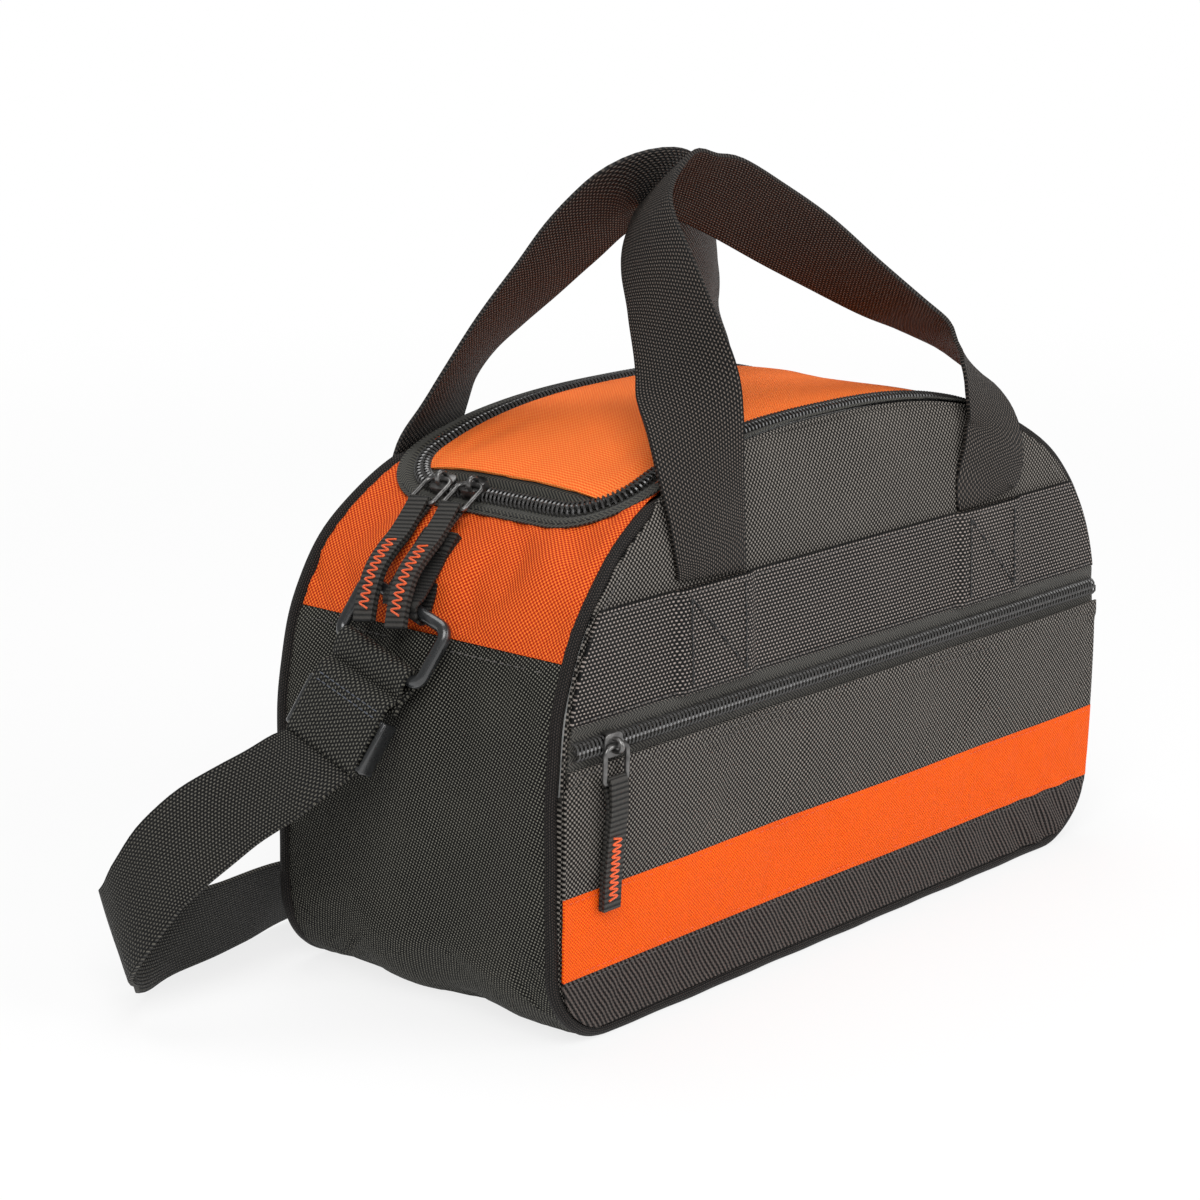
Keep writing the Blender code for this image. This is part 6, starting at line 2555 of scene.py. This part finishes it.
    def rows_at(self, ends: tuple) -> list[tuple]:
        """Return the rows of one end of the strap: its sewn layer, the fold and the straight stretch.

        Args:
            ends: the origin and the three directions of the strap's end.

        Returns:
            The rows of the folded end.
        """
        bar, down, out, across = ends
        loop = self.ring_wire + FORM.seam + self.thickness / 2
        apart = (self.thickness + FORM.seam) / 2
        flat, opened = (self.fold * 0.65, apart), (self.fold * 0.30, loop * 0.80)
        behind = ((self.fold, apart), flat, opened)
        ahead = (opened, flat, (self.fold, apart), (self.straight * 0.9, apart), (self.straight, apart))
        rows = [(*(bar + down * reach - out * lift), *across) for reach, lift in behind]
        rows += round_bar(bar, loop, out, down, across)
        return rows + [(*(bar + down * reach + out * lift), *across) for reach, lift in ahead]

    def sleeve(self, ends: tuple) -> None:
        """Make the doubled strap end that folds round the ring and over the adjuster.

        Args:
            ends: the origin and the three directions of the strap's end.
        """
        bar, down, out, across = ends
        rows = self.rows_at(ends)[:11]
        end, top = self.sleeve_end, self.sleeve_lift
        over = ((0.0080, 0.0010), (0.0095, 0.0022), (0.0120, top), (0.0200, top + 0.0002), (0.0300, top),
                (end - 0.0014, top - 0.0002), (end - 0.0003, top - 0.0007), (end, top - 0.0016),
                (end - 0.0005, top - 0.0024), (end - 0.0020, top - 0.0027), (end - 0.0060, top - 0.0030))
        rows += [(*(bar + down * reach + out * lift), *across) for reach, lift in over]
        piece = Bench.ribbon("strap_sleeve", Bench.route(rows, 0.0012), FORM.webbing_width + 0.0016,
                             self.thickness, 10, 0.0002)
        Bench.ready(piece, Finishes.SLEEVE, "bag")

    def strap(self, left: tuple, right: tuple) -> None:
        """Make the strap from ring to ring, with the stitches that close its ends.

        Args:
            left: the origin and the three directions of the left end.
            right: the origin and the three directions of the right end.
        """
        self.sleeve(left)
        bar, down, out, across = left
        first = [(*(bar + down * reach + out * 0.0003), *across) for reach in (0.0230, 0.0285, 0.0340)]
        last = [(*row[:3], *(-part for part in row[3:])) for row in reversed(self.rows_at(right))]
        free = Bench.route(first + list(self.bends) + [last[0]], 0.0035)
        rows = np.vstack([free, Bench.route(last, 0.0022)[1:]])
        piece = Bench.ribbon("shoulder_strap", rows, FORM.webbing_width, self.thickness, 10, 0.0005)
        Bench.ready(piece, Finishes.STRAP, "bag", ("shoulder_strap",))
        needle = Needle(0.0026, 0.0030, 0.00030)
        for ends, reaches, lift in ((left, (0.0150, 0.0175), self.sleeve_lift + 0.0001),
                                    (right, (0.0088, 0.0118), (self.thickness + FORM.seam) / 2)):
            bar, down, out, across = ends
            for reach in reaches:
                middle = bar + down * reach + out * (lift + self.thickness / 2)
                needle.line(middle - across * self.sewn_half, middle + across * self.sewn_half, out)
        needle.finish("strap_stitches", Finishes.BLUE_THREAD, "bag")

    def adjuster(self, ends: tuple) -> None:
        """Make the slide adjuster: two rails, two front bars and a middle bar behind the strap.

        Args:
            ends: the origin and the three directions of the strap's end.
        """
        bar, down, out, across = ends
        apart = (self.thickness + FORM.seam) / 2
        origin = bar + down * self.adjuster_place + out * apart
        near = self.thickness / 2 + FORM.seam
        bar_size, half = self.adjuster_bar, self.adjuster_length / 2
        far = near + bar_size
        rail_in = FORM.webbing_width / 2 + 0.0008
        rail_out = rail_in + bar_size
        parts = []
        rail, cross = (2 * half, bar_size, 2 * far), (bar_size, rail_in + rail_out, bar_size)
        boxes = [((0, sign * (rail_in + rail_out) / 2, 0), rail) for sign in (-1, 1)]
        for place in (-half + bar_size / 2, half - bar_size / 2):
            boxes.append(((place, 0, (near + far) / 2), cross))
        boxes.append(((0, 0, -(near + far) / 2), cross))
        for place, size in boxes:
            part = Bench.rounded_block("adjuster_part", size, 0.0009)
            part.location = place
            Bench.settle_place(part)
            parts.append(part)
        piece = Bench.joined("strap_adjuster_frame", parts)
        piece.data.transform(placed((down, across, out), origin))
        Bench.smooth(piece, 60.0)
        Bench.ready(piece, Finishes.PLASTIC, "adjuster_body", ("strap_adjuster",))

    def build(self) -> None:
        """Make everything that the strap needs."""
        left = self.end(-1, self.left_back, self.left_down, self.left_out)
        right = self.end(1, 0.0, self.right_down, self.right_out)
        self.tab("left_ring_tab", self.ring("left_ring", left), left, -1)
        self.tab("right_ring_tab", self.ring("right_ring", right), right, 1)
        self.strap(left, right)
        self.adjuster(left)


@dataclass
class Studio:
    """The pale floor, soft lights and the camera."""

    eye: Colour = (-0.9144, -0.7509, 0.4161)
    back: Colour = (-0.72671, -0.64294, 0.24192)
    lens: float = 93.35

    def floor(self) -> None:
        """Lay the floor, which keeps the bag's shadow."""
        Bench.clear()
        bpy.ops.mesh.primitive_plane_add(size=60.0, location=(0, 0, -FLOOR_GAP))
        piece = Bench.named("floor")
        Bench.settle_place(piece)
        dye = Dye("pale_floor")
        tree = dye.tree
        dye.shader.inputs["Base Color"].default_value = (0.92, 0.92, 0.92, 1.0)
        dye.shader.inputs["Roughness"].default_value = 0.9
        dye.shader.inputs["Specular IOR Level"].default_value = 0.1
        glow = dye.node("ShaderNodeEmission", inputs={"Color": (1, 1, 1, 1), "Strength": 1.0})
        rays = dye.node("ShaderNodeLightPath")
        seen = (Tint(tree, rays.outputs["Is Camera Ray"]) + Tint(tree, rays.outputs["Is Glossy Ray"])
                + Tint(tree, rays.outputs["Is Transmission Ray"]))
        far = dye.node("ShaderNodeVectorMath", {"operation": "LENGTH"}, {0: dye.solid()}).outputs["Value"]
        share = 0.80 + 0.20 * Tint(tree, far).ramp(0.35, 1.6)
        both = dye.node("ShaderNodeMixShader", inputs={0: seen.run("MINIMUM", seen, 1.0) * share,
                                                       1: dye.shader.outputs[0], 2: glow.outputs[0]})
        tree.links.new(both.outputs[0], tree.nodes["Material Output"].inputs["Surface"])
        piece.data.materials.append(dye.material)

    def world(self) -> None:
        """Set the even light all round."""
        world = bpy.data.worlds.new("studio")
        bpy.context.scene.world = world
        world.use_nodes = True
        tree = world.node_tree
        background = tree.nodes["Background"]
        background.inputs["Color"].default_value = (1, 1, 1, 1)
        rays = tree.nodes.new("ShaderNodeLightPath")
        seen = Tint(tree, rays.outputs["Is Camera Ray"])
        strength = seen * 0.72 + 0.28
        tree.links.new(strength.socket, background.inputs["Strength"])

    def lamp(self, name: str, place: Colour, size: float, power: float) -> None:
        """Hang a soft lamp that looks at the bag.

        Args:
            name: the name it gets.
            place: where it stands.
            size: the side of its square.
            power: its power in watts.
        """
        data = bpy.data.lights.new(name, "AREA")
        data.shape = "SQUARE"
        data.size = size
        data.energy = power
        lamp = Bench.linked(name, data)
        lamp.location = place
        lamp.rotation_euler = (Vector((0, 0, 0.10)) - Vector(place)).to_track_quat("-Z", "Y").to_euler()

    def camera(self) -> None:
        """Place the camera at the photograph's angle."""
        data = bpy.data.cameras.new("camera")
        data.lens = self.lens
        data.sensor_width = 36.0
        data.clip_start, data.clip_end = 0.05, 100.0
        camera = Bench.linked("camera", data)
        back = Vector(self.back).normalized()
        right = outward(Vector((-back.y, back.x, 0)).normalized(), Vector((1, 0, 0)))
        camera.matrix_world = placed((right, back.cross(right), back), self.eye)
        bpy.context.scene.camera = camera

    def build(self) -> None:
        """Set the whole studio."""
        self.floor()
        self.world()
        self.lamp("key_lamp", (-1.5, -1.3, 1.9), 1.6, 46.0)
        self.lamp("front_lamp", (0.9, -2.2, 1.1), 1.8, 33.0)
        self.lamp("top_lamp", (0.2, 0.6, 2.4), 1.6, 22.0)
        self.camera()
        scene = bpy.context.scene
        scene.view_settings.view_transform = "Standard"


def main() -> None:
    """Build every sub-assembly in order."""
    logging.basicConfig(level=logging.INFO, format="%(name)s: %(message)s")
    for assembly in (Studio(), Shell(), Lining(), MainZip(), Lid(), Bands(), Handles(), Pocket(), Sliders(),
                     ShoulderStrap()):
        assembly.build()
        LOG.info("built %s", type(assembly).__name__)


if __name__ == "__main__":
    main()
